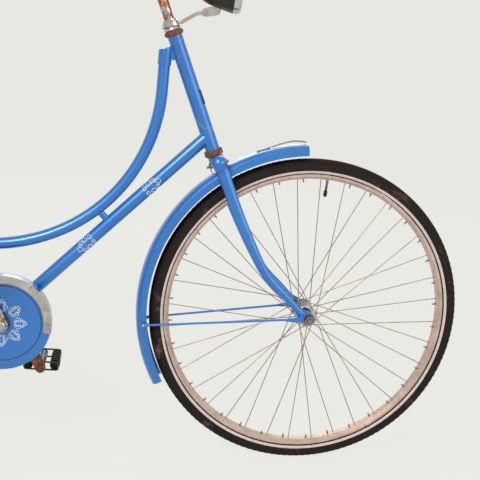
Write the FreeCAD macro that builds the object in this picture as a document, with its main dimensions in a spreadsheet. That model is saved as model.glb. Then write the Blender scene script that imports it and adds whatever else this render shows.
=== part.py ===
"""Dutch step-through roadster bicycle, parked on its rear-axle stand.

Every piece is drawn in the bicycle's own frame: X forward, Y to the rider's left, Z up, with the front
axle at the origin and both axles level. The finished pieces are then set down on the floor, nose down by
the height that the stand lifts the rear wheel.
"""
import FreeCAD, Part, Sketcher
import math
import os

V = FreeCAD.Vector
DOC = FreeCAD.newDocument("roadster")

# ------------------------------------------------------------ driving dimensions (mm, degrees)
DIMENSIONS = {
    # wheels
    "tyre_radius": 357.5, "tyre_section": 40, "rim_outer_radius": 324, "rim_inner_radius": 313,
    "rim_width": 29, "rim_flange": 5, "spoke_diameter": 2, "spoke_count": 36, "axle_diameter": 10,
    "front_hub_width": 100, "rear_hub_width": 110, "front_barrel_diameter": 28,
    "rear_barrel_diameter": 58, "front_flange_diameter": 48, "rear_flange_diameter": 76,
    "front_flange_spread": 31, "rear_flange_spread": 25.5, "flange_thickness": 3, "running_gap": 0.3,
    # frame
    "wheelbase": 1159, "crank_back": 671.5, "crank_drop": 50, "head_angle": 66, "fork_rake": 82.7,
    "fork_length": 421, "head_length": 261, "head_diameter": 31.8, "head_bore": 28,
    "down_tube_diameter": 28.6, "down_tube_rise": 37, "top_tube_diameter": 25.4,
    "top_tube_bend": 365, "top_tube_low": 158, "lug_drop": 26, "lug_reach": 27, "lug_height": 33,
    "lug_wall": 1.8, "seat_angle": 67, "seat_tube_length": 545, "seat_tube_diameter": 28.6,
    "seat_post_diameter": 25, "seat_post_rise": 92, "shell_diameter": 40, "shell_width": 70,
    "chain_stay_diameter": 18, "seat_stay_diameter": 13, "stay_spread": 26, "dropout_plate": 5,
    "brace_place": 0.52, "brace_width": 15,
    # steering
    "steerer_diameter": 25.4, "blade_top_width": 27, "blade_tip_width": 15, "blade_spread": 38,
    "stem_diameter": 22.2, "stem_rise": 125, "stem_reach": 45, "bar_diameter": 22.2,
    "bar_half_width": 300, "bar_sweep": 235, "grip_length": 120, "grip_diameter": 31,
    # drive
    "crank_length": 170, "crank_turn": -63, "crank_axle_diameter": 17, "arm_offset": 76,
    "arm_thickness": 11, "case_front_radius": 105, "case_rear_radius": 52, "case_inner": 35,
    "case_outer": 54, "drum_outer": 64, "case_wall": 1.6, "case_disc_radius": 84,
    # mudguards
    "guard_radius": 387, "guard_width": 52, "guard_depth": 24, "guard_wall": 1.4, "guard_lift": 3,
    "stay_rod": 5,
    # lamp, saddle, carrier, stand
    "lamp_diameter": 78, "lamp_length": 92, "saddle_length": 265, "saddle_width": 205,
    "carrier_width": 130, "carrier_gap": 14, "carrier_rod": 9,
    "stand_lift": 50, "stand_rod": 12, "stand_width": 250, "stand_toe": 30, "stand_offset": 80,
}

sheet = DOC.addObject("Spreadsheet::Sheet", "dims")
for row, (alias, value) in enumerate(DIMENSIONS.items(), start=1):
    sheet.set(f"A{row}", alias)
    sheet.set(f"B{row}", str(value))
    sheet.setAlias(f"B{row}", alias)
DOC.recompute()


def dim(alias):
    """The sheet's value of one driving dimension."""
    return float(getattr(sheet, alias))


def cosd(angle):
    return math.cos(math.radians(angle))


def sind(angle):
    return math.sin(math.radians(angle))


# ------------------------------------------------------------ the skeleton that the pieces hang on
FRONT_HUB = V(0, 0, 0)
REAR_HUB = V(-dim("wheelbase"), 0, 0)
CRANK = V(-dim("crank_back"), 0, -dim("crank_drop"))
STEER_UP = V(-cosd(dim("head_angle")), 0, sind(dim("head_angle")))
STEER_FORWARD = V(sind(dim("head_angle")), 0, cosd(dim("head_angle")))
HEAD_LOW = FRONT_HUB - STEER_FORWARD * dim("fork_rake") + STEER_UP * dim("fork_length")
HEAD_TOP = HEAD_LOW + STEER_UP * dim("head_length")
SEAT_UP = V(-cosd(dim("seat_angle")), 0, sind(dim("seat_angle")))
SEAT_TOP = CRANK + SEAT_UP * dim("seat_tube_length")
SADDLE_CLAMP = SEAT_TOP + SEAT_UP * dim("seat_post_rise")
LOCKNUT_STACK = 34  # bearing cone, lamp bracket, washer and nut above the head tube
STEM_FOOT = HEAD_TOP + STEER_UP * LOCKNUT_STACK

NOSE_DOWN = math.degrees(math.asin(dim("stand_lift") / dim("wheelbase")))
FRONT_REACH = dim("tyre_radius")
REAR_REACH = dim("wheelbase") * cosd(NOSE_DOWN) + dim("guard_radius") - dim("guard_lift") * sind(NOSE_DOWN)
FLOOR_CENTRE = V((REAR_REACH - FRONT_REACH) / 2, 0, dim("tyre_radius"))
PARKED = FreeCAD.Placement(FLOOR_CENTRE, FreeCAD.Rotation(V(0, 1, 0), NOSE_DOWN))
STRUT_RADIUS = 4
STAND_STUB = 34  # how far each stand leg turns in under the wheel before it meets the foot bar
STAND_BEND = 18
AXLE_END = 10  # thread left free beyond the rear axle's nuts
BRIDGE_PLACE = 0.16  # along the chain stays, from the bottom bracket
BRIDGE_RADIUS = 6
CLUSTER_DROP = 22  # from the top of the seat tube to the seat bolt
SIDES = (("right", -1), ("left", 1))
SUBPARTS = []


# ------------------------------------------------------------ helpers
def steering_point(down, forward, across=0.0):
    """A point measured from the foot of the head tube: down the steering axis, ahead of it, across."""
    return HEAD_LOW - STEER_UP * down + STEER_FORWARD * forward + V(0, across, 0)


def facing(direction):
    """The rotation that turns +Z to a direction."""
    return FreeCAD.Rotation(V(0, 0, 1), direction)


def cylinder(name, start, direction, radius, height):
    """A Part::Cylinder whose radius and height are expressions on the sheet."""
    made = DOC.addObject("Part::Cylinder", name)
    made.setExpression("Radius", radius)
    made.setExpression("Height", height)
    made.Placement = FreeCAD.Placement(start, facing(direction))
    return made


def rod(name, start, end, radius):
    """A Part::Cylinder from one skeleton point to another, its radius an expression."""
    made = DOC.addObject("Part::Cylinder", name)
    made.setExpression("Radius", radius)
    made.Height = (end - start).Length
    made.Placement = FreeCAD.Placement(start, facing(end - start))
    return made


def fused(name, *pieces):
    made = DOC.addObject("Part::MultiFuse", name)
    made.Shapes = list(pieces)
    return made


def cut(name, base, tool):
    made = DOC.addObject("Part::Cut", name)
    made.Base, made.Tool = base, tool
    return made


def shaped(name, shape):
    """A Part::Feature for a bent, lofted or patterned piece that no primitive fits."""
    made = DOC.addObject("Part::Feature", name)
    made.Shape = shape
    return made


def subpart(label, made):
    """Registers a finished piece under the name of its file."""
    made.Label = label
    SUBPARTS.append((label, made))
    return made


def value_of(expression):
    """What an expression on the sheet comes to, worked out by the sheet itself."""
    sheet.set("D1", "=" + expression.replace("dims.", ""))
    DOC.recompute()
    return float(sheet.get("D1"))


def plane_of(body, role):
    return next(f for f in body.Origin.OriginFeatures if f.Role == role)


def turned(name, profile):
    """A body revolved about its own Z axis. Each corner of the profile is (radius, height), both as
    expressions on the sheet, and each is held there by two bound constraints."""
    body = DOC.addObject("PartDesign::Body", name)
    sketch = body.newObject("Sketcher::SketchObject", name + "_profile")
    sketch.AttachmentSupport = [(plane_of(body, "XZ_Plane"), "")]
    sketch.MapMode = "FlatFace"
    corners = [V(value_of(r), value_of(z), 0) for r, z in profile]
    for here, there in zip(corners, corners[1:] + corners[:1]):
        sketch.addGeometry(Part.LineSegment(here, there), False)
    count = len(corners)
    for i in range(count):
        sketch.addConstraint(Sketcher.Constraint("Coincident", i, 2, (i + 1) % count, 1))
    for i, (radius, height) in enumerate(profile):
        for axis, amount, expression in (("X", corners[i].x, radius), ("Y", corners[i].y, height)):
            index = sketch.addConstraint(Sketcher.Constraint("Distance" + axis, -1, 1, i, 1, amount))
            sketch.setExpression(f"Constraints[{index}]", expression)
    solid = body.newObject("PartDesign::Revolution", name + "_turn")
    solid.Profile = sketch
    solid.ReferenceAxis = (sketch, ["V_Axis"])
    solid.Angle = 360
    sketch.Visibility = False
    return body


def bent_path(points, bend):
    """A wire of straight runs joined by tangent arcs of one bend radius."""
    edges = []
    here = points[0]
    for before, corner, after in zip(points, points[1:], points[2:]):
        to_before = (before - corner).normalize()
        to_after = (after - corner).normalize()
        half = to_before.getAngle(to_after) / 2
        reach = bend / math.tan(half)
        middle = corner + (to_before + to_after).normalize() * (bend / math.sin(half) - bend)
        start, end = corner + to_before * reach, corner + to_after * reach
        edges.append(Part.LineSegment(here, start).toShape())
        edges.append(Part.Arc(start, middle, end).toShape())
        here = end
    edges.append(Part.LineSegment(here, points[-1]).toShape())
    return Part.Wire(edges)


def bent_rod(points, radius, bend):
    """A round rod along a bent path."""
    path = bent_path(points, bend)
    start = points[0]
    circle = Part.Wire([Part.makeCircle(radius, start, points[1] - start)])
    return path.makePipeShell([circle], True, True)


def strap(start, end, start_radius, end_radius, thickness):
    """A flat bar lying across Y, round at both ends, centred on its two end points."""
    half = V(0, thickness / 2, 0)
    along = end - start
    lean = math.acos((start_radius - end_radius) / along.Length)
    bearing = math.atan2(along.z, along.x)

    def rim(centre, radius, angle):
        return centre + V(radius * math.cos(angle), 0, radius * math.sin(angle)) - half

    a, b = rim(start, start_radius, bearing + lean), rim(end, end_radius, bearing + lean)
    c, d = rim(end, end_radius, bearing - lean), rim(start, start_radius, bearing - lean)
    tip, heel = rim(end, end_radius, bearing), rim(start, start_radius, bearing + math.pi)
    wire = Part.Wire([Part.LineSegment(a, b).toShape(), Part.Arc(b, tip, c).toShape(),
                      Part.LineSegment(c, d).toShape(), Part.Arc(d, heel, a).toShape()])
    return Part.Face(wire).extrude(V(0, thickness, 0))


def level(start, towards, reach):
    """A point that far from the start, towards another one but no further across than the start."""
    along = V(towards.x - start.x, 0, towards.z - start.z)
    return start + along.normalize() * reach


def drum(centre, radius, low, high):
    """A disc about a Y axis, between two distances across."""
    return Part.makeCylinder(radius, high - low, centre + V(0, low, 0), V(0, 1, 0))


# ------------------------------------------------------------ wheels
def tyre(name, hub):
    ring = DOC.addObject("Part::Torus", name + "_ring")
    ring.setExpression("Radius1", "dims.tyre_radius - dims.tyre_section / 2")
    ring.setExpression("Radius2", "dims.tyre_section / 2")
    ring.Placement = FreeCAD.Placement(hub, facing(V(0, 1, 0)))
    seat = cylinder(name + "_seat", hub - V(0, dim("tyre_section"), 0), V(0, 1, 0),
                    "dims.rim_outer_radius", "2 * dims.tyre_section")
    return cut(name + "_shape", ring, seat)


def rim(name, hub):
    body = turned(name + "_shape", [
        ("dims.rim_outer_radius", "-dims.rim_width / 2"),
        ("dims.rim_outer_radius", "dims.rim_width / 2"),
        ("dims.rim_outer_radius - dims.rim_flange", "dims.rim_width / 2"),
        ("dims.rim_inner_radius", "dims.rim_width / 4"),
        ("dims.rim_inner_radius", "-dims.rim_width / 4"),
        ("dims.rim_outer_radius - dims.rim_flange", "-dims.rim_width / 2"),
    ])
    body.Placement = FreeCAD.Placement(hub, facing(V(0, 1, 0)))
    return body


def hub_body(name, hub, barrel, flange, spread, half_width):
    """A hub turned with two flanges and a bore that runs on the fixed axle."""
    bore = "dims.axle_diameter / 2 + dims.running_gap"
    inner, outer = f"({spread} - dims.flange_thickness / 2)", f"({spread} + dims.flange_thickness / 2)"
    cap = f"{barrel} / 2 - 2"
    outline = [(bore, f"-({half_width})"), (cap, f"-({half_width})"), (cap, f"-{outer}")]
    outline += [(f"{flange} / 2", f"-{outer}"), (f"{flange} / 2", f"-{inner}")]
    outline += [(f"{barrel} / 2", f"-{inner}"), (f"{barrel} / 2", inner)]
    outline += [(f"{flange} / 2", inner), (f"{flange} / 2", outer)]
    outline += [(cap, outer), (cap, half_width), (bore, half_width)]
    body = turned(name + "_shape", outline)
    body.Placement = FreeCAD.Placement(hub, facing(V(0, 1, 0)))
    return body


def spokes(name, hub, flange, spread):
    """Spokes laced three cross: each side's leading and trailing spokes leave opposite flange faces."""
    count = int(dim("spoke_count"))
    radius = dim("spoke_diameter") / 2
    circle = dim(flange) / 2 - 4
    face = dim("flange_thickness") / 2 + radius + 0.6
    pitch = 360.0 / count
    made = []
    for i in range(count):
        side = 1 if i % 2 else -1
        trailing = 1 if (i // 2) % 2 else -1
        rim_angle = i * pitch
        hub_angle = rim_angle + trailing * 6.5 * pitch
        inboard = -1 if trailing > 0 else 1
        start = hub + V(circle * cosd(hub_angle), side * (dim(spread) + inboard * face),
                        circle * sind(hub_angle))
        end_radius = dim("rim_inner_radius") - 0.4
        end = hub + V(end_radius * cosd(rim_angle), side * 3, end_radius * sind(rim_angle))
        along = end - start
        made.append(Part.makeCylinder(radius, along.Length, start, along))
    return shaped(name + "_shape", Part.makeCompound(made))


def axle(name, hub, half_length):
    return cylinder(name, hub - V(0, half_length, 0), V(0, 1, 0), "dims.axle_diameter / 2",
                    str(2 * half_length))


def nut(name, hub, low, high, radius=8.5):
    """A nut or spacer threaded on an axle, between two distances across."""
    ring = DOC.addObject("Part::Cylinder", name)
    ring.Radius, ring.Height = radius, high - low
    ring.Placement = FreeCAD.Placement(hub + V(0, low, 0), facing(V(0, 1, 0)))
    return ring


def build_front_wheel():
    subpart("front_tyre", tyre("front_tyre", FRONT_HUB))
    subpart("front_rim", rim("front_rim", FRONT_HUB))
    subpart("front_spokes", spokes("front_spokes", FRONT_HUB, "front_flange_diameter", "front_flange_spread"))
    subpart("front_hub", hub_body("front_hub", FRONT_HUB, "dims.front_barrel_diameter",
                                  "dims.front_flange_diameter", "dims.front_flange_spread", "40"))
    inner = dim("front_hub_width") / 2
    outer = inner + dim("dropout_plate")
    pieces = [axle("front_axle_rod", FRONT_HUB, outer + 14)]
    for side, sign in SIDES:
        spans = ((inner - 6, inner), (outer, outer + 9))
        for i, (low, high) in enumerate(spans):
            a, b = sorted((sign * low, sign * high))
            pieces.append(nut(f"front_nut_{side}_{i}", FRONT_HUB, a, b))
    subpart("front_axle", fused("front_axle_shape", *pieces))


def build_rear_wheel():
    subpart("rear_tyre", tyre("rear_tyre", REAR_HUB))
    subpart("rear_rim", rim("rear_rim", REAR_HUB))
    subpart("rear_spokes", spokes("rear_spokes", REAR_HUB, "rear_flange_diameter", "rear_flange_spread"))
    subpart("rear_hub", hub_body("rear_hub", REAR_HUB, "dims.rear_barrel_diameter",
                                 "dims.rear_flange_diameter", "dims.rear_flange_spread",
                                 "dims.case_inner - 5.4"))
    inner = dim("rear_hub_width") / 2
    outer = inner + dim("dropout_plate")
    eye = dim("stand_offset") + 5
    pieces = [axle("rear_axle_rod", REAR_HUB, eye + 8)]
    for side, sign in SIDES:
        spans = ((inner - 7, inner, 8.5), (outer, eye - 10.5, 9.5), (eye + 0.5, eye + 8, 8.5))
        for i, (low, high, radius) in enumerate(spans):
            a, b = sorted((sign * low, sign * high))
            pieces.append(nut(f"rear_nut_{side}_{i}", REAR_HUB, a, b, radius))
        a, b = sorted((sign * (eye + 8), sign * (eye + 8 + AXLE_END)))
        pieces.append(nut(f"rear_axle_end_{side}", REAR_HUB, a, b, dim("axle_diameter") / 2 - 0.3))
    subpart("rear_axle", fused("rear_axle_shape", *pieces))


# ------------------------------------------------------------ frame
def down_tube_head():
    return HEAD_LOW + STEER_UP * dim("down_tube_rise")


def seat_point(height):
    """The point of the seat tube's axis that far above the crank axle."""
    return CRANK + SEAT_UP * (height / SEAT_UP.z)


def top_tube_x():
    """The upright end of the top tube stands this far along X."""
    lug = HEAD_TOP - STEER_UP * dim("lug_drop")
    return lug.x - dim("lug_reach")


def top_tube_top():
    """The top tube ends here, at the lower face of the upper lug."""
    lug = HEAD_TOP - STEER_UP * dim("lug_drop")
    return V(top_tube_x(), 0, lug.z - dim("lug_height"))


def solid_tube(start, end, diameter):
    return Part.makeCylinder(diameter / 2, (end - start).Length, start, end - start)


def build_main_frame():
    head = cylinder("head_outer", HEAD_LOW, STEER_UP, "dims.head_diameter / 2", "dims.head_length")
    bore = cylinder("head_inner", HEAD_LOW, STEER_UP, "dims.head_bore / 2", "dims.head_length")
    subpart("head_tube", cut("head_tube_shape", head, bore))

    shell = cylinder("shell_outer", CRANK - V(0, dim("shell_width") / 2, 0), V(0, 1, 0),
                     "dims.shell_diameter / 2", "dims.shell_width")
    shell_bore = cylinder("shell_inner", CRANK - V(0, dim("shell_width") / 2, 0), V(0, 1, 0),
                          "dims.crank_axle_diameter / 2 + dims.running_gap", "dims.shell_width")
    subpart("bottom_bracket", cut("bottom_bracket_shape", shell, shell_bore))

    head_mitre = cylinder("head_mitre", HEAD_LOW, STEER_UP, "dims.head_diameter / 2", "dims.head_length")
    shell_mitre = cylinder("shell_mitre", CRANK - V(0, dim("shell_width") / 2, 0), V(0, 1, 0),
                           "dims.shell_diameter / 2", "dims.shell_width")
    down = rod("down_tube_blank", CRANK, down_tube_head(), "dims.down_tube_diameter / 2")
    joints = fused("down_tube_mitres", head_mitre, shell_mitre)
    subpart("down_tube", cut("down_tube_shape", down, joints))

    seat = cylinder("seat_tube_blank", CRANK, SEAT_UP, "dims.seat_tube_diameter / 2",
                    "dims.seat_tube_length")
    shell_again = cylinder("seat_mitre", CRANK - V(0, dim("shell_width") / 2, 0), V(0, 1, 0),
                           "dims.shell_diameter / 2", "dims.shell_width")
    down_again = rod("seat_mitre_down", CRANK, down_tube_head(), "dims.down_tube_diameter / 2")
    subpart("seat_tube", cut("seat_tube_shape", seat, fused("seat_mitres", shell_again, down_again)))


def build_top_tube():
    """One upright run, one long bend and a short level run into the seat tube."""
    bend = dim("top_tube_bend")
    run_height = CRANK.z + dim("top_tube_low")
    top = top_tube_top()
    centre = V(top.x - bend, 0, run_height + bend)
    radius = dim("top_tube_diameter") / 2
    upright = Part.makeCylinder(radius, top.z - centre.z, V(top.x, 0, centre.z), V(0, 0, 1))
    circle = Part.Face(Part.Wire([Part.makeCircle(radius, V(top.x, 0, centre.z), V(0, 0, 1))]))
    curve = circle.revolve(centre, V(0, 1, 0), 90)
    run = Part.makeCylinder(radius, bend / 2, V(centre.x, 0, run_height), V(-1, 0, 0))
    seat = seat_point(dim("top_tube_low"))
    mitre = solid_tube(CRANK, SEAT_TOP, dim("seat_tube_diameter"))
    behind = Part.makeBox(bend, 4 * radius, bend, V(-bend, -2 * radius, -bend / 2))
    behind.Placement = FreeCAD.Placement(seat, FreeCAD.Rotation(V(0, 1, 0), dim("seat_angle") - 90))
    made = upright.fuse([curve, run]).cut(mitre).cut(behind).removeSplitter()
    subpart("top_tube", shaped("top_tube_shape", made))


def build_upper_lug():
    """Cast lug: a sleeve over the top tube's end and a web across to the head tube."""
    top = top_tube_top()
    radius = dim("top_tube_diameter") / 2 + dim("lug_wall")
    sleeve = Part.makeCylinder(radius, dim("lug_height") - 2, top - V(0, 0, 6), V(0, 0, 1))
    cap = Part.makeSphere(radius, top + V(0, 0, dim("lug_height") - 8))
    head_mid = HEAD_TOP - STEER_UP * (dim("lug_drop") + 2)
    web = Part.makeBox(head_mid.x - top.x, 16, dim("lug_height") - 6, V(top.x, -8, top.z + 6))
    head = solid_tube(HEAD_LOW, HEAD_TOP, dim("head_diameter"))
    tube = Part.makeCylinder(dim("top_tube_diameter") / 2, 12, top - V(0, 0, 12), V(0, 0, 1))
    ceiling = Part.makeBox(200, 100, 100, V(-100, -50, 0))
    ceiling.Placement = FreeCAD.Placement(top + V(0, 0, dim("lug_height") - 3),
                                          FreeCAD.Rotation(V(0, 1, 0), -20))
    made = sleeve.fuse([cap, web]).cut(head).cut(tube).cut(ceiling).removeSplitter()
    subpart("upper_lug", shaped("upper_lug_shape", made))


def build_tube_brace():
    """The short tie between the bend of the top tube and the down tube."""
    down_axis = (down_tube_head() - CRANK)
    foot = CRANK + down_axis * dim("brace_place")
    square = V(-down_axis.z, 0, down_axis.x).normalize()
    centre = V(top_tube_x() - dim("top_tube_bend"), 0, CRANK.z + dim("top_tube_low") + dim("top_tube_bend"))
    along = (foot - centre).dot(square)
    side = math.sqrt((foot - centre).Length ** 2 - along ** 2)
    reach = -along - math.sqrt(dim("top_tube_bend") ** 2 - side ** 2)
    radius = dim("brace_width") / 2
    blank = Part.makeCylinder(radius, abs(reach), foot, square)
    down = solid_tube(CRANK, down_tube_head(), dim("down_tube_diameter"))
    ring = Part.makeTorus(dim("top_tube_bend"), dim("top_tube_diameter") / 2, centre, V(0, 1, 0))
    subpart("tube_brace", shaped("tube_brace_shape", blank.cut(down).cut(ring)))


def stay_ends(side_sign):
    """Where a chain stay starts at the bottom bracket and ends at its dropout."""
    start = CRANK + V(-8, side_sign * dim("stay_spread"), 0)
    plate = dim("rear_hub_width") / 2 + dim("dropout_plate") / 2
    return start, REAR_HUB + V(24, side_sign * plate, -2)


def seat_stay_ends(side_sign):
    """Where a seat stay starts on its dropout and ends beside the seat lug."""
    plate = dim("rear_hub_width") / 2 + dim("dropout_plate") / 2
    top = SEAT_TOP - SEAT_UP * CLUSTER_DROP + V(0, side_sign * dim("stay_spread"), 0)
    return REAR_HUB + V(8, side_sign * plate, 24), top


def joined_by_bridge(stays):
    """The chain stays with the round bridge that ties them behind the bottom bracket."""
    start, end = stay_ends(1)
    at = start + (end - start) * BRIDGE_PLACE
    bridge = Part.makeCylinder(BRIDGE_RADIUS, 2 * at.y, V(at.x, -at.y, at.z), V(0, 1, 0))
    return stays[0].fuse([bridge, stays[1]]).removeSplitter()


def build_rear_triangle():
    plate = dim("rear_hub_width") / 2
    shell = drum(CRANK, dim("shell_diameter") / 2, -dim("shell_width"), dim("shell_width"))
    seat_cluster = SEAT_TOP - SEAT_UP * CLUSTER_DROP
    dropouts, chain_stays, seat_stays = [], [], []
    for _, sign in SIDES:
        centre = REAR_HUB + V(0, sign * (plate + dim("dropout_plate") / 2), 0)
        foot = strap(centre, centre + V(26, 0, -2), 17, 9, dim("dropout_plate"))
        horn = strap(centre, centre + V(6, 0, 26), 17, 8, dim("dropout_plate"))
        tail = strap(centre, centre + V(-20, 0, 4), 17, 8, dim("dropout_plate"))
        hole = drum(REAR_HUB, dim("axle_diameter") / 2, sign * plate - 8, sign * plate + 8)
        dropout = foot.fuse([horn, tail]).cut(hole).removeSplitter()
        dropouts.append(dropout)
        start, end = stay_ends(sign)
        stay = solid_tube(start, end, dim("chain_stay_diameter")).cut(shell).cut(dropout)
        chain_stays.append(max(stay.Solids, key=lambda s: s.Volume))
        low, top = seat_stay_ends(sign)
        upper = solid_tube(low, top, dim("seat_stay_diameter")).cut(dropout)
        seat_stays.append(max(upper.Solids, key=lambda s: s.Volume))
    subpart("rear_dropouts", shaped("rear_dropouts_shape", Part.makeCompound(dropouts)))
    subpart("chain_stays", shaped("chain_stays_shape", joined_by_bridge(chain_stays)))
    subpart("seat_stays", shaped("seat_stays_shape", Part.makeCompound(seat_stays)))

    spread = dim("stay_spread")
    sleeve = Part.makeCylinder(dim("seat_tube_diameter") / 2 + 2.2, 38, SEAT_TOP - SEAT_UP * 38, SEAT_UP)
    bolt = Part.makeCylinder(7, 2 * spread, seat_cluster - V(0, spread, 0), V(0, 1, 0))
    ears = Part.makeBox(22, 22, 14, V(-34, -11, -14))
    ears.Placement = FreeCAD.Placement(SEAT_TOP, FreeCAD.Rotation(V(0, 1, 0), dim("seat_angle") - 90))
    tube = solid_tube(CRANK, SEAT_TOP, dim("seat_tube_diameter"))
    stays = Part.makeCompound(seat_stays)
    lug = sleeve.fuse([bolt, ears]).cut(tube).cut(stays).removeSplitter()
    subpart("seat_lug", shaped("seat_lug_shape", max(lug.Solids, key=lambda s: s.Volume)))


# ------------------------------------------------------------ headset, fork and front axle
def build_headset():
    gap = "dims.steerer_diameter / 2 + dims.running_gap"
    collar = "dims.head_diameter / 2 + 0.05"
    lower = turned("lower_cup_shape", [
        (gap, "0"), (gap, "-7"), ("19.5", "-7"), ("20.5", "-5.5"), ("20.5", "3.5"), ("19.5", "5"),
        (collar, "5"), (collar, "0")])
    lower.Placement = FreeCAD.Placement(HEAD_LOW, facing(STEER_UP))
    upper = turned("upper_cup_shape", [
        (gap, "0"), ("17.5", "0"), ("20.5", "3"), ("20.5", "8"), ("18", "10.5"), (gap, "10.5")])
    upper.Placement = FreeCAD.Placement(HEAD_TOP, facing(STEER_UP))
    cups = DOC.addObject("Part::Compound", "headset_cups_shape")
    cups.Links = [lower, upper]
    subpart("headset_cups", cups)
    bore = "dims.steerer_diameter / 2"
    stack = turned("locknut_shape", [
        (bore, "10.5 + dims.running_gap"), ("17", "10.5 + dims.running_gap"), ("19", "14"),
        ("17", "19.5"), ("15.6", "19.5"), ("15.6", "22.5"), ("18", "22.5"), ("18", "28.5"),
        ("15", "31"), ("15", "34"), (bore, "34")])
    stack.Placement = FreeCAD.Placement(HEAD_TOP, facing(STEER_UP))
    subpart("headset_locknut", stack)


CROWN_DEPTH = 28
CROWN_AHEAD = 3  # the crown's middle, ahead of the steering axis
CROWN_FOOT = 36  # from the head tube down to the crown's lower face
SHOULDER = 17.5  # radius of the rounded shoulder over each blade, and its place down the steering axis
SHOULDER_DOWN = 22
BLADE_STATIONS = (  # down the steering axis from the head tube, ahead of it, as the blade's centre line
    (34, 5.0), (110, 5.5), (165, 8.0), (225, 13.0), (270, 18.5), (300, 25.5), (325, 35.5), (362, 53.0),
    (402, 71.5))


def blade_shape(sign):
    """A tapering oval tube, swept forward towards the axle."""
    first, last = BLADE_STATIONS[0][0], BLADE_STATIONS[-1][0]
    tip_across = dim("front_hub_width") / 2 + dim("dropout_plate") / 2
    sections = []
    for i, (down, forward) in enumerate(BLADE_STATIONS):
        before = BLADE_STATIONS[max(i - 1, 0)]
        after = BLADE_STATIONS[min(i + 1, len(BLADE_STATIONS) - 1)]
        share = (down - first) / (last - first)
        across = dim("blade_spread") + (tip_across - dim("blade_spread")) * share
        centre = steering_point(down, forward, sign * across)
        tangent = (steering_point(*after) - steering_point(*before)).normalize()
        width = dim("blade_top_width") + (dim("blade_tip_width") - dim("blade_top_width")) * share ** 1.6
        thickness = 18 + (13 - 18) * share
        long_way = V(0, 1, 0).cross(tangent).normalize()
        oval = Part.Ellipse(centre + long_way * (width / 2), centre + V(0, thickness / 2, 0), centre)
        sections.append(Part.Wire([oval.toShape()]))
    return Part.makeLoft(sections, True, False)


def build_fork():
    steerer = Part.makeCylinder(dim("steerer_diameter") / 2, dim("head_length") + LOCKNUT_STACK + 12,
                                steering_point(12, 0), STEER_UP)
    spread = dim("blade_spread")
    race = Part.makeCone(15, 19, 4, steering_point(11.3, 0), STEER_UP)
    neck = Part.makeCylinder(16, 12, steering_point(22, 0), STEER_UP)
    block = Part.makeBox(CROWN_DEPTH, 2 * spread, 22, V(-CROWN_DEPTH / 2, -spread, 0))
    block.Placement = FreeCAD.Placement(steering_point(CROWN_FOOT, CROWN_AHEAD), facing(STEER_UP))
    block = block.makeFillet(6, [e for e in block.Edges if e.Length > 1.9 * spread])
    ends = []
    for _, sign in SIDES:
        foot = steering_point(CROWN_FOOT, CROWN_AHEAD, sign * spread)
        end = Part.makeCone(14.2, SHOULDER, CROWN_FOOT - SHOULDER_DOWN, foot, STEER_UP)
        dome = Part.makeSphere(SHOULDER, steering_point(SHOULDER_DOWN, CROWN_AHEAD, sign * spread))
        above = Part.makeCylinder(30, 30, steering_point(SHOULDER_DOWN, CROWN_AHEAD, sign * spread), STEER_UP)
        ends += [end, dome.common(above)]
    crown = steerer.fuse([race, neck, block] + ends).removeSplitter()
    blades = [blade_shape(sign) for _, sign in SIDES]
    for blade in blades:
        crown = crown.cut(blade)
    subpart("fork_crown", shaped("fork_crown_shape", max(crown.Solids, key=lambda s: s.Volume)))

    inner = dim("front_hub_width") / 2
    tips, finished = [], []
    for blade, (side, sign) in zip(blades, SIDES):
        across = sign * (inner + dim("dropout_plate") / 2)
        centre = FRONT_HUB + V(0, across, 0)
        plate = strap(centre, steering_point(396, 68, across), 14, 9, dim("dropout_plate"))
        eyelet = strap(centre, centre + V(-25, 0, 0), 11, 6, dim("dropout_plate"))
        hole = drum(FRONT_HUB, dim("axle_diameter") / 2, across - 6, across + 6)
        tip = plate.fuse(eyelet).cut(hole).removeSplitter()
        tips.append(tip)
        finished.append((f"fork_blade_{side}", max(blade.cut(tip).Solids, key=lambda s: s.Volume)))
    for label, blade in finished:
        subpart(label, shaped(label + "_shape", blade))
    subpart("front_dropouts", shaped("front_dropouts_shape", Part.makeCompound(tips)))


def build_guard_bolt():
    """The bolt through the fork crown that holds the front mudguard: its head, and its nut with a tab."""
    down = 28.5
    front_face, back_face = CROWN_AHEAD + CROWN_DEPTH / 2, CROWN_AHEAD - CROWN_DEPTH / 2
    head = Part.makeCylinder(5.5, 5, steering_point(down, front_face + 0.1), STEER_FORWARD)
    end = Part.makeCylinder(3, 9, steering_point(down, front_face + 0.1), STEER_FORWARD)
    nut_back = Part.makeCylinder(5.5, 5, steering_point(down, back_face - 0.1), STEER_FORWARD * -1)
    tail = Part.makeCylinder(3, 14, steering_point(down, back_face - 0.1), STEER_FORWARD * -1)
    tab = Part.makeBox(2, 16, 22, V(-1, -8, -14))
    tab.Placement = FreeCAD.Placement(steering_point(down, back_face - 6.4), facing(STEER_UP))
    pieces = [head.fuse(end).removeSplitter(), tail.fuse([nut_back, tab]).removeSplitter()]
    subpart("guard_bolt", shaped("guard_bolt_shape", Part.makeCompound(pieces)))


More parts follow.
